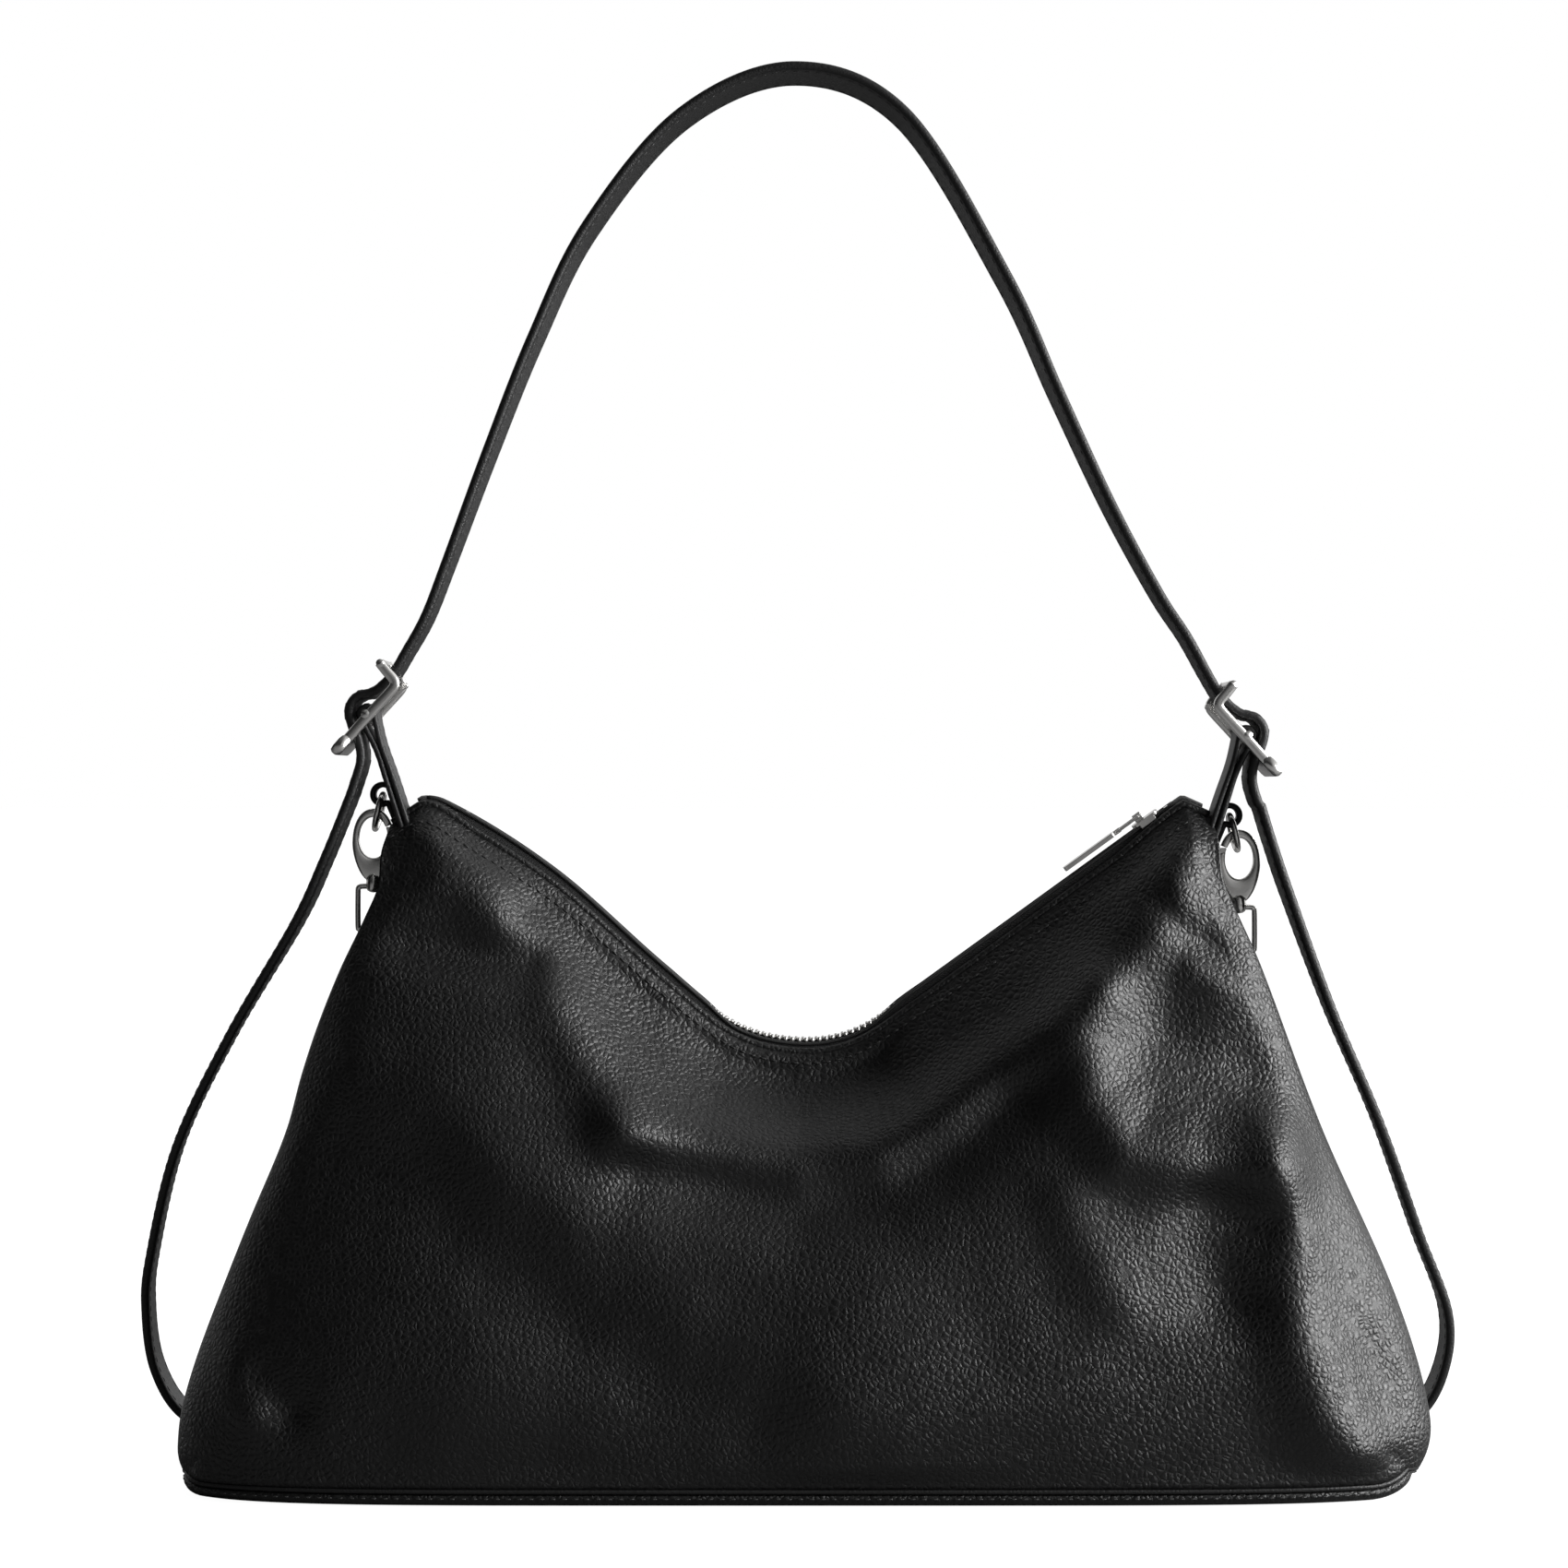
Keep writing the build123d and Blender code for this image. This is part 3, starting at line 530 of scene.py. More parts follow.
def woven_material(name, pitch, dark, light, herringbone):
    """Woven cloth; the zip tape's ribs turn back and forth as a herringbone."""
    n = Nodes(name)
    uv = n.add("ShaderNodeTexCoord").outputs["UV"]
    split = n.add("ShaderNodeSeparateXYZ")
    n.link(uv, split.inputs[0])
    across = n.math("PINGPONG", split.outputs["Y"], pitch * 1.6) if herringbone else split.outputs["Y"]
    lean = 1.0 if herringbone else 0.0
    slant = n.math("ADD", split.outputs["X"], n.math("MULTIPLY", across, lean))
    rib = n.math("SINE", n.math("MULTIPLY", slant, 2 * pi / pitch))
    if not herringbone:
        weft = n.math("SINE", n.math("MULTIPLY", split.outputs["Y"], 2 * pi / pitch))
        rib = n.math("MULTIPLY", rib, weft)
    level = n.ramp(rib, -1.0, 1.0)
    fuzz = n.add("ShaderNodeTexNoise", Scale=3000.0, Detail=2.0)
    n.link(n.add("ShaderNodeTexCoord").outputs["Object"], fuzz.inputs["Vector"])
    normal = n.bump(level, 0.6, 0.00018)
    n.link(n.bump(fuzz.outputs["Fac"], 0.25, 0.00008, normal), n.shader.inputs["Normal"])
    n.link(n.mix_color(level, dark, light), n.shader.inputs["Base Color"])
    n.shader.inputs["Roughness"].default_value = 0.8
    n.shader.inputs["Sheen Weight"].default_value = 0.15
    return n.material


BODY_LEATHER = leather_material("pebbled_leather", 0.0018, 0.0003,
                                (0.0010, 0.0010, 0.0011), (0.0028, 0.0028, 0.0030), 0.34)
STRAP_LEATHER = leather_material("strap_leather", 0.0012, 0.00010,
                                 (0.0020, 0.0020, 0.0021), (0.0045, 0.0045, 0.0048), 0.4)
NICKEL = metal_material("nickel", (0.95, 0.94, 0.92), 0.19)
TEETH_METAL = metal_material("zip_nickel", (0.8, 0.79, 0.77), 0.25)
THREAD = thread_material("black_thread", (0.006, 0.006, 0.006), (0.03, 0.03, 0.03))
TAPE_CLOTH = woven_material("zip_tape_cloth", 0.9, (0.004, 0.004, 0.004), (0.02, 0.02, 0.021), True)
LINING_CLOTH = woven_material("lining_cloth", 1.0, (0.02, 0.02, 0.022), (0.05, 0.05, 0.055), False)
BOARD = leather_material("board", 0.003, 0.0001, (0.03, 0.03, 0.03), (0.05, 0.05, 0.05), 0.7)


def add_uv(obj, rows, columns, width, length):
    """Lay out a two-sided grid sheet in millimetres for the woven materials."""
    layer = obj.data.uv_layers.new(name="weave")
    count = rows * columns
    for loop in obj.data.loops:
        index = loop.vertex_index % count
        row, column = index // columns, index % columns
        layer.data[loop.index].uv = (row / (rows - 1) * width, column / (columns - 1) * length)


# ---- leather body -----------------------------------------
DENSE = ((221, 131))     # points across and up a leather wall


def leather_wall(side, name, node):
    """Folded leather wall, with its points closer together near the two sides."""
    columns = [sin(t * pi / 2) * 0.5 + t * 0.5 for t in spread(DENSE[0])]
    rows = spread(DENSE[1], 0.0, 1.0)
    outer, inner = [], []
    for u in columns:
        line_out, line_in = [], []
        for v in rows:
            flat = shell_point(side, u, v)
            push = slack(side, u, v, flat.x, flat.z)
            line_out.append(shell_point(side, u, v, 0, push))
            line_in.append(shell_point(side, u, v, LEATHER, push))
        outer.append(line_out)
        inner.append(line_in)
    wall = replace_nodes(sheet(name, outer, inner), "leather", BODY_LEATHER, node)
    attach(wall, "bag")


def rolled_edge(side, name):
    """Folded leather edge that the zip tape is sewn behind, with its row of stitches."""
    points, sewn, outward = [], [], []
    for t in spread(161, -0.995, 0.995):
        edge = shell_point(side, t, 1)
        points.append(Vector((edge.x, side * 5.3, edge.z + 0.1)))
        flat = shell_point(side, t, 0.975)
        low = shell_point(side, t, 0.975, 0, slack(side, t, 0.975, flat.x, flat.z))
        sewn.append(low + Vector((0, side * 0.2, 0)))
        outward.append(Vector((0, side, 0.35)))
    edge = replace_nodes(tube(name, points, 1.35), "leather", BODY_LEATHER)
    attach(edge, "bag")
    row = replace_nodes(stitches(name + "_stitches", sewn, outward), "leather", THREAD)
    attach(row, "bag")


def side_wall(side, name):
    """Side wall folded inward between the two panels."""
    grids = []
    for depth in (0.0, LEATHER):
        grid = []
        for w in spread(33):
            line = []
            for v in spread(81, 0.0, 0.985):
                edge = shell_point(BACK, side, v)
                fold = smooth(SIDE_FOLD, v) * (1 - w * w)
                wave = noise.noise(Vector((w * 1.5, side * 5.0, v * 4.0))) * 1.5 * (1 - w * w)
                reach = edge.y - LEATHER * 0.75
                line.append(Vector((edge.x - side * (fold + depth + wave), reach * w, edge.z)))
            grid.append(line)
        grids.append(grid)
    wall = replace_nodes(sheet("side_wall_" + name, *grids), "leather", BODY_LEATHER, "gusset_" + name)
    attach(wall, "bag")


def base_point(side, u, inset):
    """Point of the base's outline: u -1..1 across."""
    crown = sqrt(max(1 - abs(u)**6, 0))
    depth = EDGE_DEPTHS[0][1] + (DEPTHS[0][1] - EDGE_DEPTHS[0][1]) * crown
    x = u * (HALF_WIDTHS[0][1] - inset) + max(-u, 0)**2 * LEFT_SHIFT[0][1]
    return Vector((x, side * (depth - inset), 0))


def outline(inset, z, count=90):
    """Closed outline of the base."""
    across = [sin(t * pi / 2) for t in spread(count)]
    front = [base_point(FRONT, u, inset) for u in across]
    back = [base_point(BACK, u, inset) for u in reversed(across)]
    right = [front[-1].lerp(back[0], t) for t in spread(9, 0.0, 1.0)[1:-1]]
    left = [back[-1].lerp(front[0], t) for t in spread(9, 0.0, 1.0)[1:-1]]
    return [round_corner(Vector((p.x, p.y, z))) for p in front + right + back + left]


def base():
    """Leather base with an upturned edge, its welt, its stitches and the stiffening board."""
    profile = [(3.0, 3.0), (2.2, 3.8), (0.9, 3.9), (0.3, 3.4), (0.2, 2.6), (0.6, 1.6), (1.5, 0.7),
               (3.0, 0.2), (5.5, 0.0), (14.0, 0.0), (24.0, 0.0)]     # (inset, height)
    rings = [outline(inset, z) for inset, z in profile]
    size = len(rings[0])
    verts = [p for ring in rings for p in ring]
    faces = grid_faces(len(rings), size, close_columns=True)
    faces.append(tuple(range(len(verts) - size, len(verts))))
    faces.append(tuple(range(size)))
    panel = fix_normals(make_object("leather_base", verts, faces))
    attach(replace_nodes(panel, "leather", BODY_LEATHER, "base_panel"), "bag")
    seam = tube("base_welt", outline(0.6, 4.7), 0.8, closed=True, across=Vector((0, 0, 1)))
    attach(replace_nodes(seam, "leather", STRAP_LEATHER, "base_piping"), "bag")
    line = outline(0.15, 2.6)
    outward = [Vector((p.x * 0.25, p.y, 0)).normalized() for p in line]
    row = stitches("base_stitches", line + line[:1], outward + outward[:1])
    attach(replace_nodes(row, "leather", THREAD), "bag")
    board = [outline(6.2, z) for z in (2.6, 4.2)]
    size = len(board[0])
    verts = [p for ring in board for p in ring]
    faces = grid_faces(2, size, close_columns=True)
    faces += [tuple(range(size)), tuple(range(size, 2 * size))]
    plate = fix_normals(make_object("stiffening_board", verts, faces, smooth_shade=False))
    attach(replace_nodes(plate, "board", BOARD, "base_board"), "bag")


def lining(side, name, inset, across, up, node):
    """Cloth behind a wall, following its hollows but not its ridges."""
    columns, rows = 71, 41
    thickness, clearance = 0.8, 0.8
    grids = []
    for depth in (inset, inset + thickness):
        grid = []
        for t in spread(columns, *across):
            line = []
            for v in spread(rows, *up):
                u = sin(t * pi / 2)
                flat = shell_point(side, u, v)
                push = min(slack(side, u, v, flat.x, flat.z), 0.0)
                line.append(shell_point(side, u, v, depth, push - clearance))
            grid.append(line)
        grids.append(grid)
    cloth = sheet(name, *grids)
    add_uv(cloth, columns, rows, 300, 180)
    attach(replace_nodes(cloth, "lining", LINING_CLOTH, node), "bag")


leather_wall(FRONT, "leather_front", "front_panel")
leather_wall(BACK, "leather_back", "back_panel")
for end, word in ((FRONT, "front"), (BACK, "back")):
    rolled_edge(end, "top_edge_" + word)
    lining(end, "cloth_lining_" + word, 3.0, (-0.84, 0.84), (0, 0.92), "lining_" + word)
lining(BACK, "slip_pocket", 4.9, (-0.33, 0.3), (0.22, 0.66), "inner_pocket")
for end, word in SIDES.items():
    side_wall(end, word)
base()


# ---- zip --------------------------------------------------
def zip_points(low, high, step):
    """Evenly spaced points along the zip, with the direction away from the bag."""
    curve = [Vector((x, 0, zip_height(x))) for x in spread(240, low, high)]
    walked, due = 0.0, 0.0
    out = []
    for a, b in zip(curve, curve[1:]):
        gap = (b - a).length
        while walked + gap >= due:
            along = (b - a).normalized()
            out.append((a.lerp(b, (due - walked) / gap), along, Vector((-along.z, 0, along.x))))
            due += step
        walked += gap
    return out


def tape_lift(x):
    """The tape's corded edge stands above the teeth, except where the zip sags lowest."""
    away = min(max((abs(x - 1) - 19) / 12, 0), 1)
    return 1.9 * away * away * (3 - 2 * away)


def zip_tape(side, name):
    """Woven tape with a corded edge, rising from behind the leather to the teeth."""
    rows = [(3.9, -9.0), (3.85, -6.0), (3.8, -4.4), (3.7, -3.0), (3.5, -2.0), (3.3, -1.2)]
    xs = spread(161, -114.0, 115.5)
    grids = []
    for inset in (0.0, 0.7):
        grid = []
        for x in xs:
            heights = [zip_height(x) + dz + tape_lift(x) * (9 + dz) / 9 for _, dz in rows]
            grid.append([Vector((x, side * (y - inset), z)) for (y, _), z in zip(rows, heights)])
        grids.append(grid)
    tape = sheet("tape_" + name, *grids)
    add_uv(tape, len(xs), len(rows), 280, 9)
    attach(replace_nodes(tape, "zip_tape", TAPE_CLOTH, "zip_tape_" + name), "bag")
    cord = [Vector((x, side * 3.35, zip_height(x) - 1.15 + tape_lift(x))) for x in xs]
    rope = tube("tape_cord_" + name, cord, 0.6, count=8)
    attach(replace_nodes(rope, "zip_tape", THREAD), "bag")


def zip_teeth(side, name):
    """Row of separate metal teeth, each reaching in between the two opposite it."""
    verts, faces = [], []
    start = ZIP_LOW + (TOOTH_PITCH / 2 if side == BACK else 0.0)
    section = [(0.52, 0.3), (0.3, 0.78), (-0.3, 0.78), (-0.52, 0.3),
               (-0.52, -0.3), (-0.3, -0.78), (0.3, -0.78), (0.52, -0.3)]
    stations = [(-0.75, 0.5), (-0.45, 0.85), (0.8, 0.9), (2.6, 1.05), (3.3, 0.8)]     # (y, scale)
    for point, along, up in zip_points(start, ZIP_HIGH, TOOTH_PITCH):
        base_index = len(verts)
        for y, swell in stations:
            for a, b in section:
                verts.append(point + along * a * swell + up * b * swell + Vector((0, side * y, 0)))
        faces += grid_faces(5, 8, close_columns=True, base=base_index)
        faces += [tuple(range(base_index, base_index + 8)), tuple(range(base_index + 32, base_index + 40))]
    teeth = fix_normals(make_object("teeth_" + name, verts, faces))
    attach(replace_nodes(teeth, "metal", TEETH_METAL, "zip_teeth_" + name), "bag")


def zip_end(x, name, length):
    """Leather cap folded over the end of the zip."""
    arc = spread(9, pi, 0.0)
    outer = [(4.9 * cos(a), 2.2 * sin(a) - 1.0) for a in reversed(arc)]
    inner = [(3.9 * cos(a), 1.1 * sin(a) - 1.0) for a in arc]
    section = [(5.0, -4.4)] + outer + [(-5.0, -4.4), (-3.9, -4.4)] + inner + [(3.9, -4.4)]
    xs = spread(13, x - length / 2, x + length / 2)
    points = [Vector((a, 0, edge_height(a) + 1.7)) for a in xs]
    cap = sweep("zip_cap_" + name, points, frames_along(points, ACROSS), section)
    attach(replace_nodes(cap, "leather", BODY_LEATHER, "zip_end_" + name), "bag")
    for side in (FRONT, BACK):
        row = [Vector((p.x, side * 5.05, p.z - 2.3)) for p in points]
        sewn = stitches("zip_cap_%s_stitches_%s" % (name, "front" if side == FRONT else "back"), row,
                        [Vector((0, side, 0))] * len(row), spacing=3.0)
        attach(replace_nodes(sewn, "leather", THREAD), "bag")


for end, word in ((FRONT, "front"), (BACK, "back")):
    zip_tape(end, word)
    zip_teeth(end, word)
zip_end(-110.5, "left", 12.0)
zip_end(119.5, "right", 9.0)


# ---- strap, tabs and loops --------------------------------
# The buckles', tabs' and hooks' points are (x outward, z) on the left side, and place() turns
# them into either side's. ARCH and SIDE_STRAP are in the frame's own coordinates.
THROUGH_BUCKLE = [(113.6, 264.0), (119.8, 252.8), (124.2, 245.6), (129.4, 240.9), (134.6, 239.4),
                  (137.2, 235.4), (136.1, 230.2), (134.3, 226.2), (133.5, 220.0), (135.6, 212.6)]
ARCH = [(-107, 281), (-94.3, 315), (-80.7, 349), (-64, 383), (-35.5, 417), (-1.4, 431),
        (32, 417.5), (63, 368), (79.5, 332), (95.4, 298), (110, 271)]
SIDE_STRAP = {
    LEFT: [(-137.6, -2, 207), (-145, -1.5, 189), (-154, 0, 170), (-175, 6, 135.5), (-193, 16, 100.5),
           (-203.5, 29, 64.5), (-205.8, 35, 46), (-203.5, 38, 27.5), (-195, 40, 13), (-179, 40, 6.6)],
    RIGHT: [(141.4, -2, 206), (144.8, -2, 195), (150.5, -1, 178.5), (163.8, 3, 144), (179.7, 11, 109),
            (194.8, 27, 72.5), (205.4, 35, 46), (204.8, 38, 27.5), (197, 40, 13), (181, 40, 6.6)],
}
BUCKLE_CENTRE = (131.8, 234.0)
CURL_CENTRE = (128.6, 209.4)
LOOP_LOW, LOOP_HIGH = 167.2, 180.9     # the wire loop's lower and upper bar


def place(side, point):
    """Where a point of the left hardware lies on either side of the bag."""
    if side == LEFT:
        return (-point[0], point[1])
    return (point[0] + RIGHT_SHIFT[0], point[1] + RIGHT_SHIFT[1])


def flat_path(side, points, y):
    """Hardware points placed on one side of the bag, in the plane y."""
    return [Vector((p[0], y, p[1])) for p in (place(side, q) for q in points)]


def arc_points(centre, radius, start, end, count):
    """Points on an arc, its two angles in degrees."""
    return [(centre[0] + radius * cos(radians(a)), centre[1] + radius * sin(radians(a)))
            for a in spread(count, start, end)]


def strap_twist(t):
    """The slack strap turns a little, so the inner face shows beside its edge."""
    arch = max(0.0, sin(pi * (t - 0.27) / 0.46)) if 0.27 < t < 0.73 else 0.0
    sides = 0.0
    if t < 0.2:
        sides = max(0.0, sin(pi * t / 0.2))
    elif t > 0.8:
        sides = sin(pi * (t - 0.8) / 0.2)
    return radians(-7) * arch + radians(4) * sides


def strap():
    """One long stitched strap: base corner, buckle, shoulder, buckle, base corner."""
    path = [Vector(p) for p in reversed(SIDE_STRAP[LEFT])]
    path += flat_path(LEFT, reversed(THROUGH_BUCKLE), STRAP_Y)
    path += [Vector((x, STRAP_Y, z)) for x, z in ARCH]
    path += flat_path(RIGHT, THROUGH_BUCKLE, STRAP_Y)
    path += [Vector(p) for p in SIDE_STRAP[RIGHT]]
    points = resample(path, 1.6)
    frames = frames_along(points, ACROSS, strap_twist)
    body = sweep("long_strap", points, frames, strap_section(STRAP_WIDTH, STRAP_THICKNESS))
    replace_nodes(body, "strap_leather", STRAP_LEATHER,
                  "shoulder_strap", "strap_side_left", "strap_side_right")
    pieces = [body]
    rows = [("outer_near", -1, 1), ("outer_far", 1, 1), ("inner_near", -1, -1), ("inner_far", 1, -1)]
    for word, edge, face in rows:
        line, outward = [], []
        for point, (_, side, normal) in zip(points, frames):
            across = side * edge * (STRAP_WIDTH / 2 - STITCH_INSET)
            line.append(point + across + normal * face * STRAP_THICKNESS / 2)
            outward.append(normal * face)
        row = stitches("strap_stitches_" + word, line, outward, spacing=3.4, length=2.5, radius=0.24)
        pieces.append(replace_nodes(row, "strap_leather", THREAD))
    for piece in pieces:
        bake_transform(piece)


def buckle_tab(side, name):
    """Leather tab from the bag's corner round the buckle's centre bar and back."""
    bar = arc_points(BUCKLE_CENTRE, 2.35, -15, 195, 9)
    path = [(119.0, 192.5), (125.6, 213.0), (128.9, 223.0)] + bar
    path += [(127.6, 225.0), (123.6, 213.5), (116.8, 192.5)]
    points = resample(flat_path(side, path, STRAP_Y), 0.8)
    frames = frames_along(points, ACROSS)
    tab = sweep("leather_tab_" + name, points, frames, strap_section(15.4, 1.7))
    replace_nodes(tab, "strap_leather", STRAP_LEATHER, "tab_root_" + name, "buckle_tab_" + name)
    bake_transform(tab)
    for edge in (-1, 1):
        line = [p + s * edge * 5.6 + n * 0.85 for p, (_, s, n) in zip(points, frames)]
        row = stitches("tab_%s_stitches_%s" % (name, "near" if edge < 0 else "far"), line,
                       [f[2] for f in frames], spacing=3.2, length=2.3, radius=0.24)
        replace_nodes(row, "strap_leather", THREAD)
        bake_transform(row)


def rounded_bar(width, thickness, power=4.0, count=16):
    """Flat bar section with rounded edges."""
    section = []
    for k in range(count):
        a = 2 * pi * k / count
        c, s = cos(a), sin(a)
        scale = (abs(c)**power + abs(s)**power)**(-1 / power)
        section.append((width / 2 * c * scale, thickness / 2 * s * scale))
    return section


def buckle(side, name):
    """Bent buckle frame: two rails, a round top bar, a round centre bar and a flat low bar."""
    rail = [(127.4, 249.6), (125.6, 247.3), (123.6, 244.9), (122.9, 243.7), (122.9, 242.6),
            (123.8, 241.2), (128.0, 236.6), (132.2, 232.0), (136.4, 227.2), (140.6, 222.6)]
    pieces = []
    for end in (FRONT, BACK):
        points = resample(flat_path(side, rail, STRAP_Y + end * 11.1), 0.6)
        pieces.append((points, ACROSS, rounded_bar(2.4, 3.1)))
    along = Vector((1, 0, 0))
    for centre, section in (((127.2, 249.4), circle_section(1.25)), (BUCKLE_CENTRE, circle_section(1.3))):
        x, z = place(side, centre)
        points = [Vector((x, STRAP_Y + t, z)) for t in spread(9, -12.2, 12.2)]
        pieces.append((points, along, section))
    x, z = place(side, (139.2, 224.4))
    slope = Vector((side * 0.66, 0, -0.75)).normalized()
    points = [Vector((x, STRAP_Y + t, z)) for t in spread(9, -12.7, 12.7)]
    pieces.append((points, slope, rounded_bar(6.6, 3.4)))
    verts, faces = [], []
    for points, across, section in pieces:
        base = len(verts)
        for point, (_, wide, normal) in zip(points, frames_along(points, across)):
            verts += [point + wide * a + normal * b for a, b in section]
        size = len(section)
        faces += grid_faces(len(points), size, close_columns=True, base=base)
        faces += [tuple(range(base, base + size)), tuple(range(len(verts) - size, len(verts)))]
    frame_piece = fix_normals(make_object("buckle_" + name, verts, faces))
    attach(replace_nodes(frame_piece, "metal", NICKEL, "buckle_frame_" + name), "carry_strap")


def ring_loop(side, name):
    """Small leather loop curled round the ring."""
    curl = arc_points(CURL_CENTRE, 3.05, 165, -120, 11)
    path = [(119.6, 194.0), (123.6, 206.4)] + curl + [(125.9, 204.4), (121.6, 194.0)]
    points = resample(flat_path(side, path, HOOK_Y), 0.5)
    frames = frames_along(points, ACROSS)
    loop = sweep("curled_loop_" + name, points, frames, strap_section(5.0, 1.8))
    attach(replace_nodes(loop, "leather", STRAP_LEATHER, "ring_loop_" + name), "bag")


def side_tab(side, name):
    """Tab in the side fold, folded over the wire loop of the hook."""
    x, z = place(side, (HOOK_X, LOOP_LOW))
    path = [(HOOK_Y - 1.2, z - 18), (HOOK_Y - 1.65, z - 8)]
    path += arc_points((HOOK_Y, z), 1.53, 180, 0, 9)
    path += [(HOOK_Y + 1.65, z - 8), (HOOK_Y + 1.2, z - 18)]
    points = resample([Vector((x, a, b)) for a, b in path], 0.6)
    frames = frames_along(points, Vector((1, 0, 0)))
    tab = sweep("loop_tab_" + name, points, frames, strap_section(7.2, 1.5))
    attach(replace_nodes(tab, "leather", STRAP_LEATHER, "side_tab_" + name), "bag")


def anchor(side, name):
    """Leather patch that holds the strap's end at the base corner."""
    rows = []
    shares = spread(9, 0.0, 1.0)
    for t in shares:
        x = side * (173.5 + 14 * t) + (LEFT_SHIFT[0][1] if side == LEFT else 0)
        heights = [5.3 - 0.5 * (2 * s - 1)**4 - 0.5 * (2 * t - 1)**4 for s in shares]
        rows.append([Vector((x, 34.5 + 11 * s, z)) for s, z in zip(shares, heights)])
    under = [[p + Vector((0, 0, -3.0)) for p in row] for row in rows]
    patch = sheet("strap_patch_" + name, rows, under)
    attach(replace_nodes(patch, "strap_leather", STRAP_LEATHER, "strap_anchor_" + name), "bag")


def hook_outline(angle, inner):
    """Outer edge of the hook, or the edge of its oval hole, at an angle round the hook."""
    c, s = cos(angle), sin(angle)
    if inner:
        return Vector((HOOK_X + 4.4 * c, 0, 196.0 + 6.3 * s))
    square = 2.2 if s > 0 else 4.0
    shape = (abs(c)**square + abs(s)**square)**(-1 / square)
    narrow = 1.0 if s > 0 else 1.0 - 0.46 * min(-s * shape, 1.0)**1.6
    reach = 10.9 if s > 0 else 11.6
    return Vector((HOOK_X + 6.5 * c * shape * narrow, 0, 194.1 + reach * s * shape))


def hook(side, name):
    """Snap hook: rounded loop with a broad lower plate, open where the gate closes it."""
    verts = []
    size = 16
    angles = spread(89, radians(-198), radians(148))
    for angle in angles:
        outer, inner = hook_outline(angle, False), hook_outline(angle, True)
        middle, half = (outer + inner) / 2, (outer - inner) / 2
        for k in range(size):
            a = 2 * pi * k / size
            flat = abs(cos(a))**0.5 * (1 if cos(a) > 0 else -1)
            thick = 1.6 * abs(sin(a))**0.35 * (1 if sin(a) > 0 else -1)
            p = middle + half * flat
            x, z = place(side, (p.x, p.z))
            verts.append(Vector((x, HOOK_Y + thick, z)))
    faces = grid_faces(len(angles), size, close_columns=True)
    faces += [tuple(range(size)), tuple(range(len(verts) - size, len(verts)))]
    knob = [(0.0, 184.6), (1.6, 184.6), (2.3, 183.6), (2.3, 180.4),
            (1.9, 179.6), (1.1, 179.1), (0.0, 178.9)]     # (radius, height)
    start = len(verts)
    for radius, height in knob:
        x, z = place(side, (HOOK_X, height))
        for k in range(size):
            a = 2 * pi * k / size
            verts.append(Vector((x + radius * cos(a), HOOK_Y + radius * sin(a), z)))
    faces += grid_faces(len(knob), size, close_columns=True, base=start)
    body = fix_normals(make_object("snap_hook_" + name, verts, faces))
    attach(replace_nodes(body, "metal", NICKEL, "hook_body_" + name), name + "_hook")


def hook_loop(side, name):
    """Rounded wire loop through the hook's swivel knob."""
    path = [(0, LOOP_HIGH), (3.6, LOOP_HIGH), (4.5, 180.5), (4.8, 179.6),
            (4.8, 168.7), (4.4, 167.5), (3.4, LOOP_LOW), (0, LOOP_LOW)]
    path += [(-x, z) for x, z in reversed(path[1:-1])]
    centres = [place(side, (HOOK_X + x, z)) for x, z in path]
    points = resample([Vector((x, HOOK_Y, z)) for x, z in centres + centres[:1]], 0.6)[:-1]
    wire = tube("swivel_loop_" + name, points, 0.85, closed=True)
    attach(replace_nodes(wire, "metal", NICKEL, "hook_loop_" + name), name + "_wire_loop")


strap()
for end, word in SIDES.items():
    hook(end, word)
    hook_loop(end, word)
    buckle(end, word)
    buckle_tab(end, word)
    ring_loop(end, word)
    side_tab(end, word)
    anchor(end, word)

# ---- metal pieces that keep their CAD shape ---------------
METAL_NODES = ["zip_stops", "zip_slider", "pull_loop", "zip_pull"]
for word in SIDES.values():
    METAL_NODES += [stem + word for stem in ("buckle_prong_", "ring_", "hook_gate_")]
for node in METAL_NODES:
    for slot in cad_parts[node].material_slots:
        slot.material = NICKEL


# ---- camera, light and floor ------------------------------
CAMERA_SPOT = (-0.0043, -1.15, 0.2126)
LENS = 85.74
KEY_SPOT, KEY_TARGET = (1.35, -0.34, 0.42), (0.08, -0.02, 0.12)
KEY_SIZE, KEY_POWER = (0.9, 1.2), 46
# World light: (axis, where it starts to rise, where it is full, strength), summed.
WORLD_RAMPS = [("Y", -0.1, 0.6, 0.5), ("X", -0.3, 1.0, 0.8), ("Z", 0.45, 1.0, 0.08)]
WORLD_DARKEST = 0.008
FLOOR_REACH, FLOOR_DROP = 30000.0, -0.3


def area_light(name, spot, target, size, power):
    """Rectangular light at a spot, aimed at a target."""
    data = bpy.data.lights.new(name, "AREA")
    data.shape = "RECTANGLE"
    data.size, data.size_y = size
    data.energy = power
    light = bpy.data.objects.new(name, data)
    light.location = spot
    light.rotation_euler = (Vector(target) - Vector(spot)).to_track_quat("-Z", "Y").to_euler()
    bpy.context.scene.collection.objects.link(light)


def camera_only(tree, seen, unseen):
    """Mix two shaders: one for what the camera sees, one for the light it gives."""
    path = tree.nodes.new("ShaderNodeLightPath")
    mix = tree.nodes.new("ShaderNodeMixShader")
    tree.links.new(path.outputs["Is Camera Ray"], mix.inputs[0])
    tree.links.new(unseen, mix.inputs[1])
    tree.links.new(seen, mix.inputs[2])
    return mix.outputs[0]


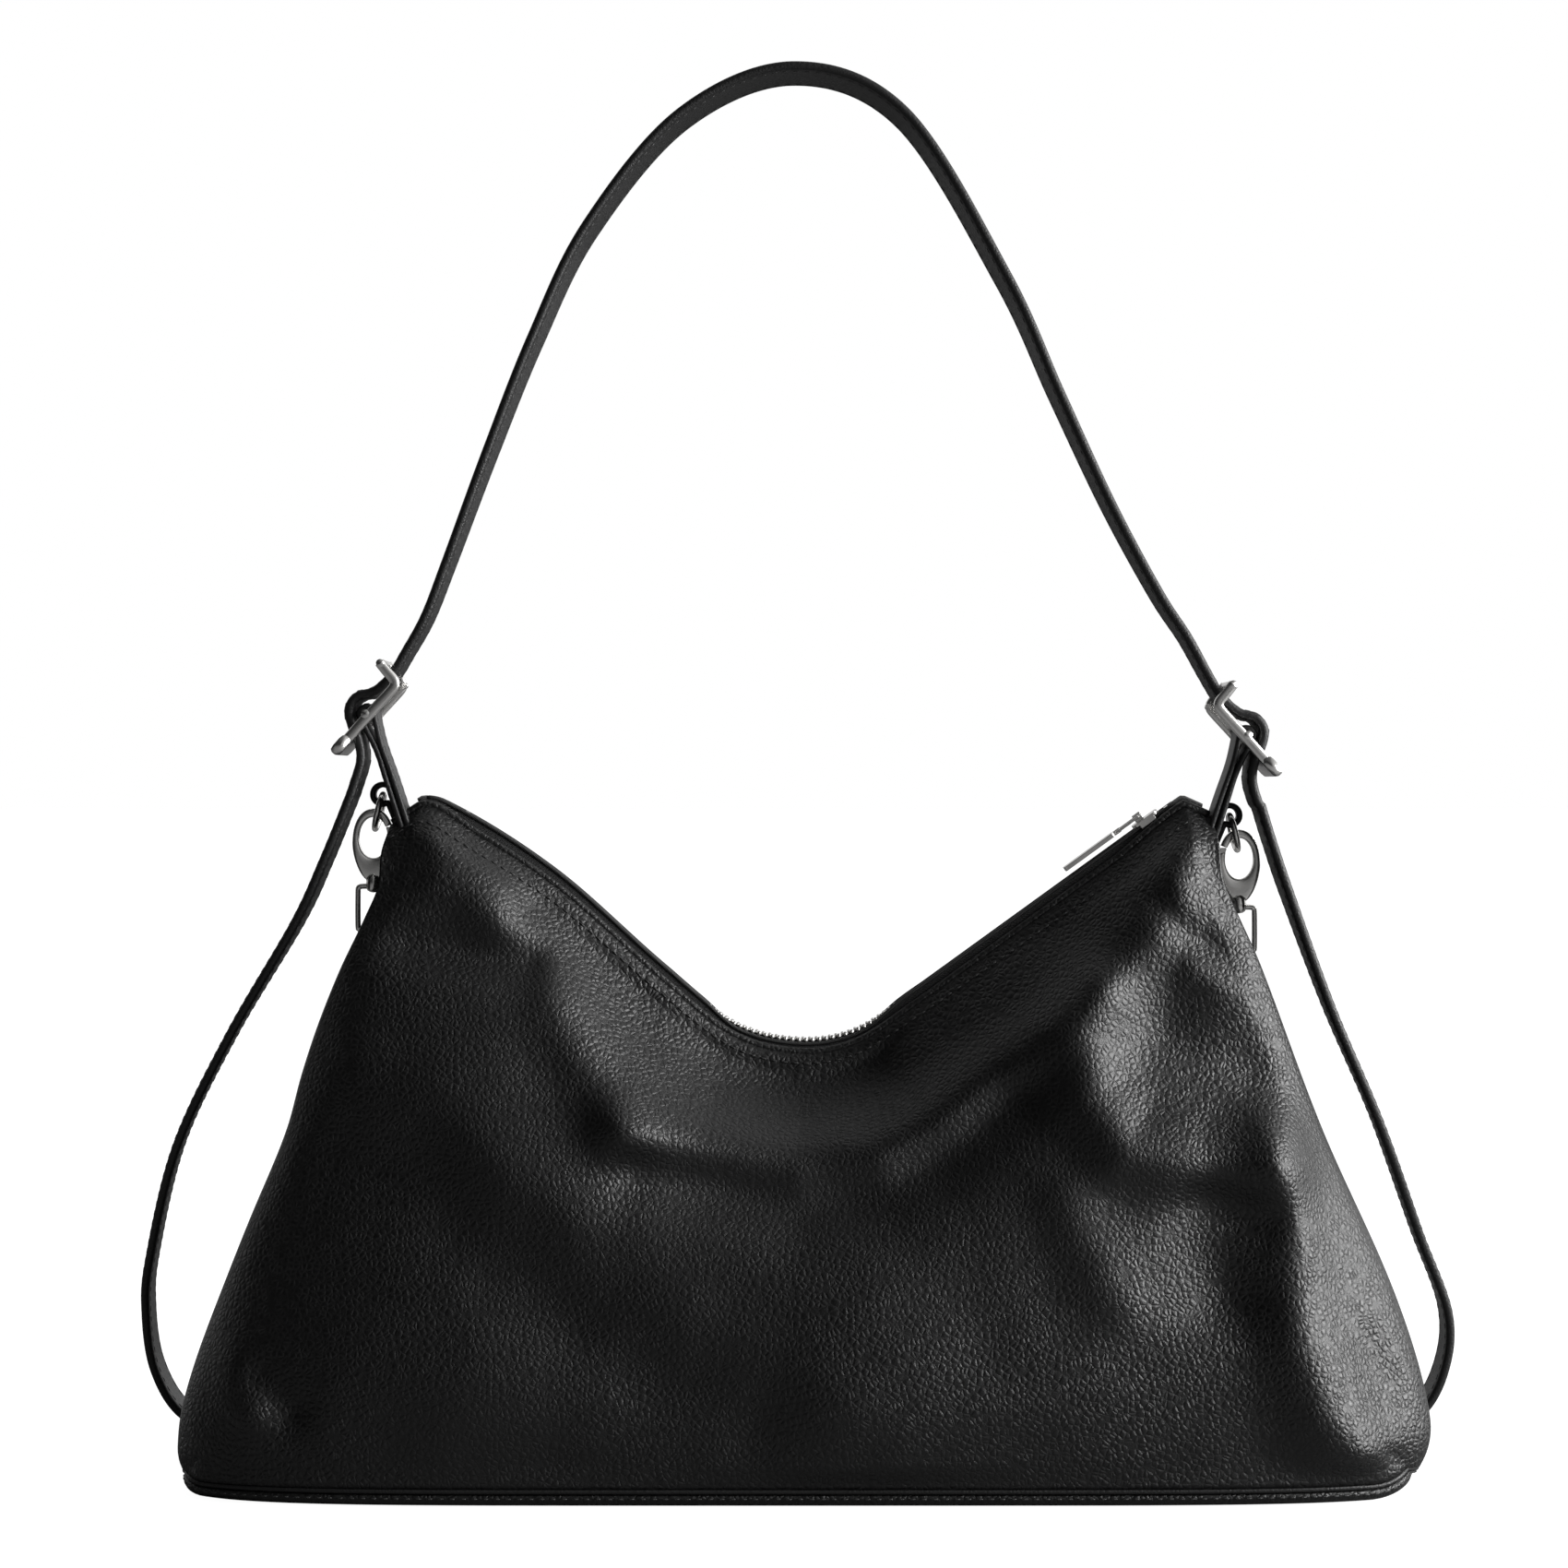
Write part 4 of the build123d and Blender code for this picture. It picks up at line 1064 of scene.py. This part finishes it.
def strength_sum(tree, a, b):
    """Add two light strengths."""
    total = tree.nodes.new("ShaderNodeMath")
    tree.links.new(a, total.inputs[0])
    tree.links.new(b, total.inputs[1])
    return total.outputs[0]


def studio():
    """Camera, one large key light from the right, a soft dark-to-bright world and a pale floor."""
    camera_data = bpy.data.cameras.new("camera")
    camera_data.lens = LENS
    camera_data.sensor_width = 36.0
    camera = bpy.data.objects.new("camera", camera_data)
    camera.location = CAMERA_SPOT
    camera.rotation_euler = (pi / 2, 0, 0)
    bpy.context.scene.collection.objects.link(camera)
    bpy.context.scene.camera = camera
    bpy.context.scene.view_settings.view_transform = "Standard"

    area_light("key_right", KEY_SPOT, KEY_TARGET, KEY_SIZE, KEY_POWER)

    world = bpy.data.worlds.new("studio")
    world.use_nodes = True
    bpy.context.scene.world = world
    tree = world.node_tree
    lit = tree.nodes["Background"]
    lit.inputs["Color"].default_value = (1, 1, 1, 1)
    toward = tree.nodes.new("ShaderNodeTexCoord")
    split = tree.nodes.new("ShaderNodeSeparateXYZ")
    tree.links.new(toward.outputs["Generated"], split.inputs[0])
    parts = []
    for axis, low, high, top in WORLD_RAMPS:
        part = tree.nodes.new("ShaderNodeMapRange")
        part.interpolation_type = "SMOOTHSTEP"
        part.inputs["From Min"].default_value = low
        part.inputs["From Max"].default_value = high
        part.inputs["To Min"].default_value = WORLD_DARKEST
        part.inputs["To Max"].default_value = top
        tree.links.new(split.outputs[axis], part.inputs["Value"])
        parts.append(part.outputs[0])
    strength = strength_sum(tree, strength_sum(tree, parts[0], parts[1]), parts[2])
    tree.links.new(strength, lit.inputs["Strength"])
    pale = tree.nodes.new("ShaderNodeBackground")
    pale.inputs["Color"].default_value = (1, 1, 1, 1)
    mixed = camera_only(tree, pale.outputs[0], lit.outputs[0])
    tree.links.new(mixed, tree.nodes["World Output"].inputs["Surface"])

    signs = ((-1, -1), (1, -1), (1, 1), (-1, 1))
    corners = [(FLOOR_REACH * x, FLOOR_REACH * y, FLOOR_DROP) for x, y in signs]
    floor = make_object("floor", corners, [(0, 1, 2, 3)])
    material = bpy.data.materials.new("pale_floor")
    material.use_nodes = True
    tree = material.node_tree
    tree.nodes.remove(tree.nodes["Principled BSDF"])
    matte = tree.nodes.new("ShaderNodeBsdfDiffuse")
    matte.inputs["Color"].default_value = (0.3, 0.3, 0.3, 1)
    glow = tree.nodes.new("ShaderNodeEmission")
    glow.inputs["Color"].default_value = (0.97, 0.97, 0.97, 1)
    both = tree.nodes.new("ShaderNodeAddShader")
    tree.links.new(matte.outputs[0], both.inputs[0])
    tree.links.new(glow.outputs[0], both.inputs[1])
    grey = tree.nodes.new("ShaderNodeBsdfDiffuse")
    grey.inputs["Color"].default_value = (0.25, 0.25, 0.25, 1)
    mixed = camera_only(tree, both.outputs[0], grey.outputs[0])
    tree.links.new(mixed, tree.nodes["Material Output"].inputs["Surface"])
    floor.data.materials.append(material)


studio()
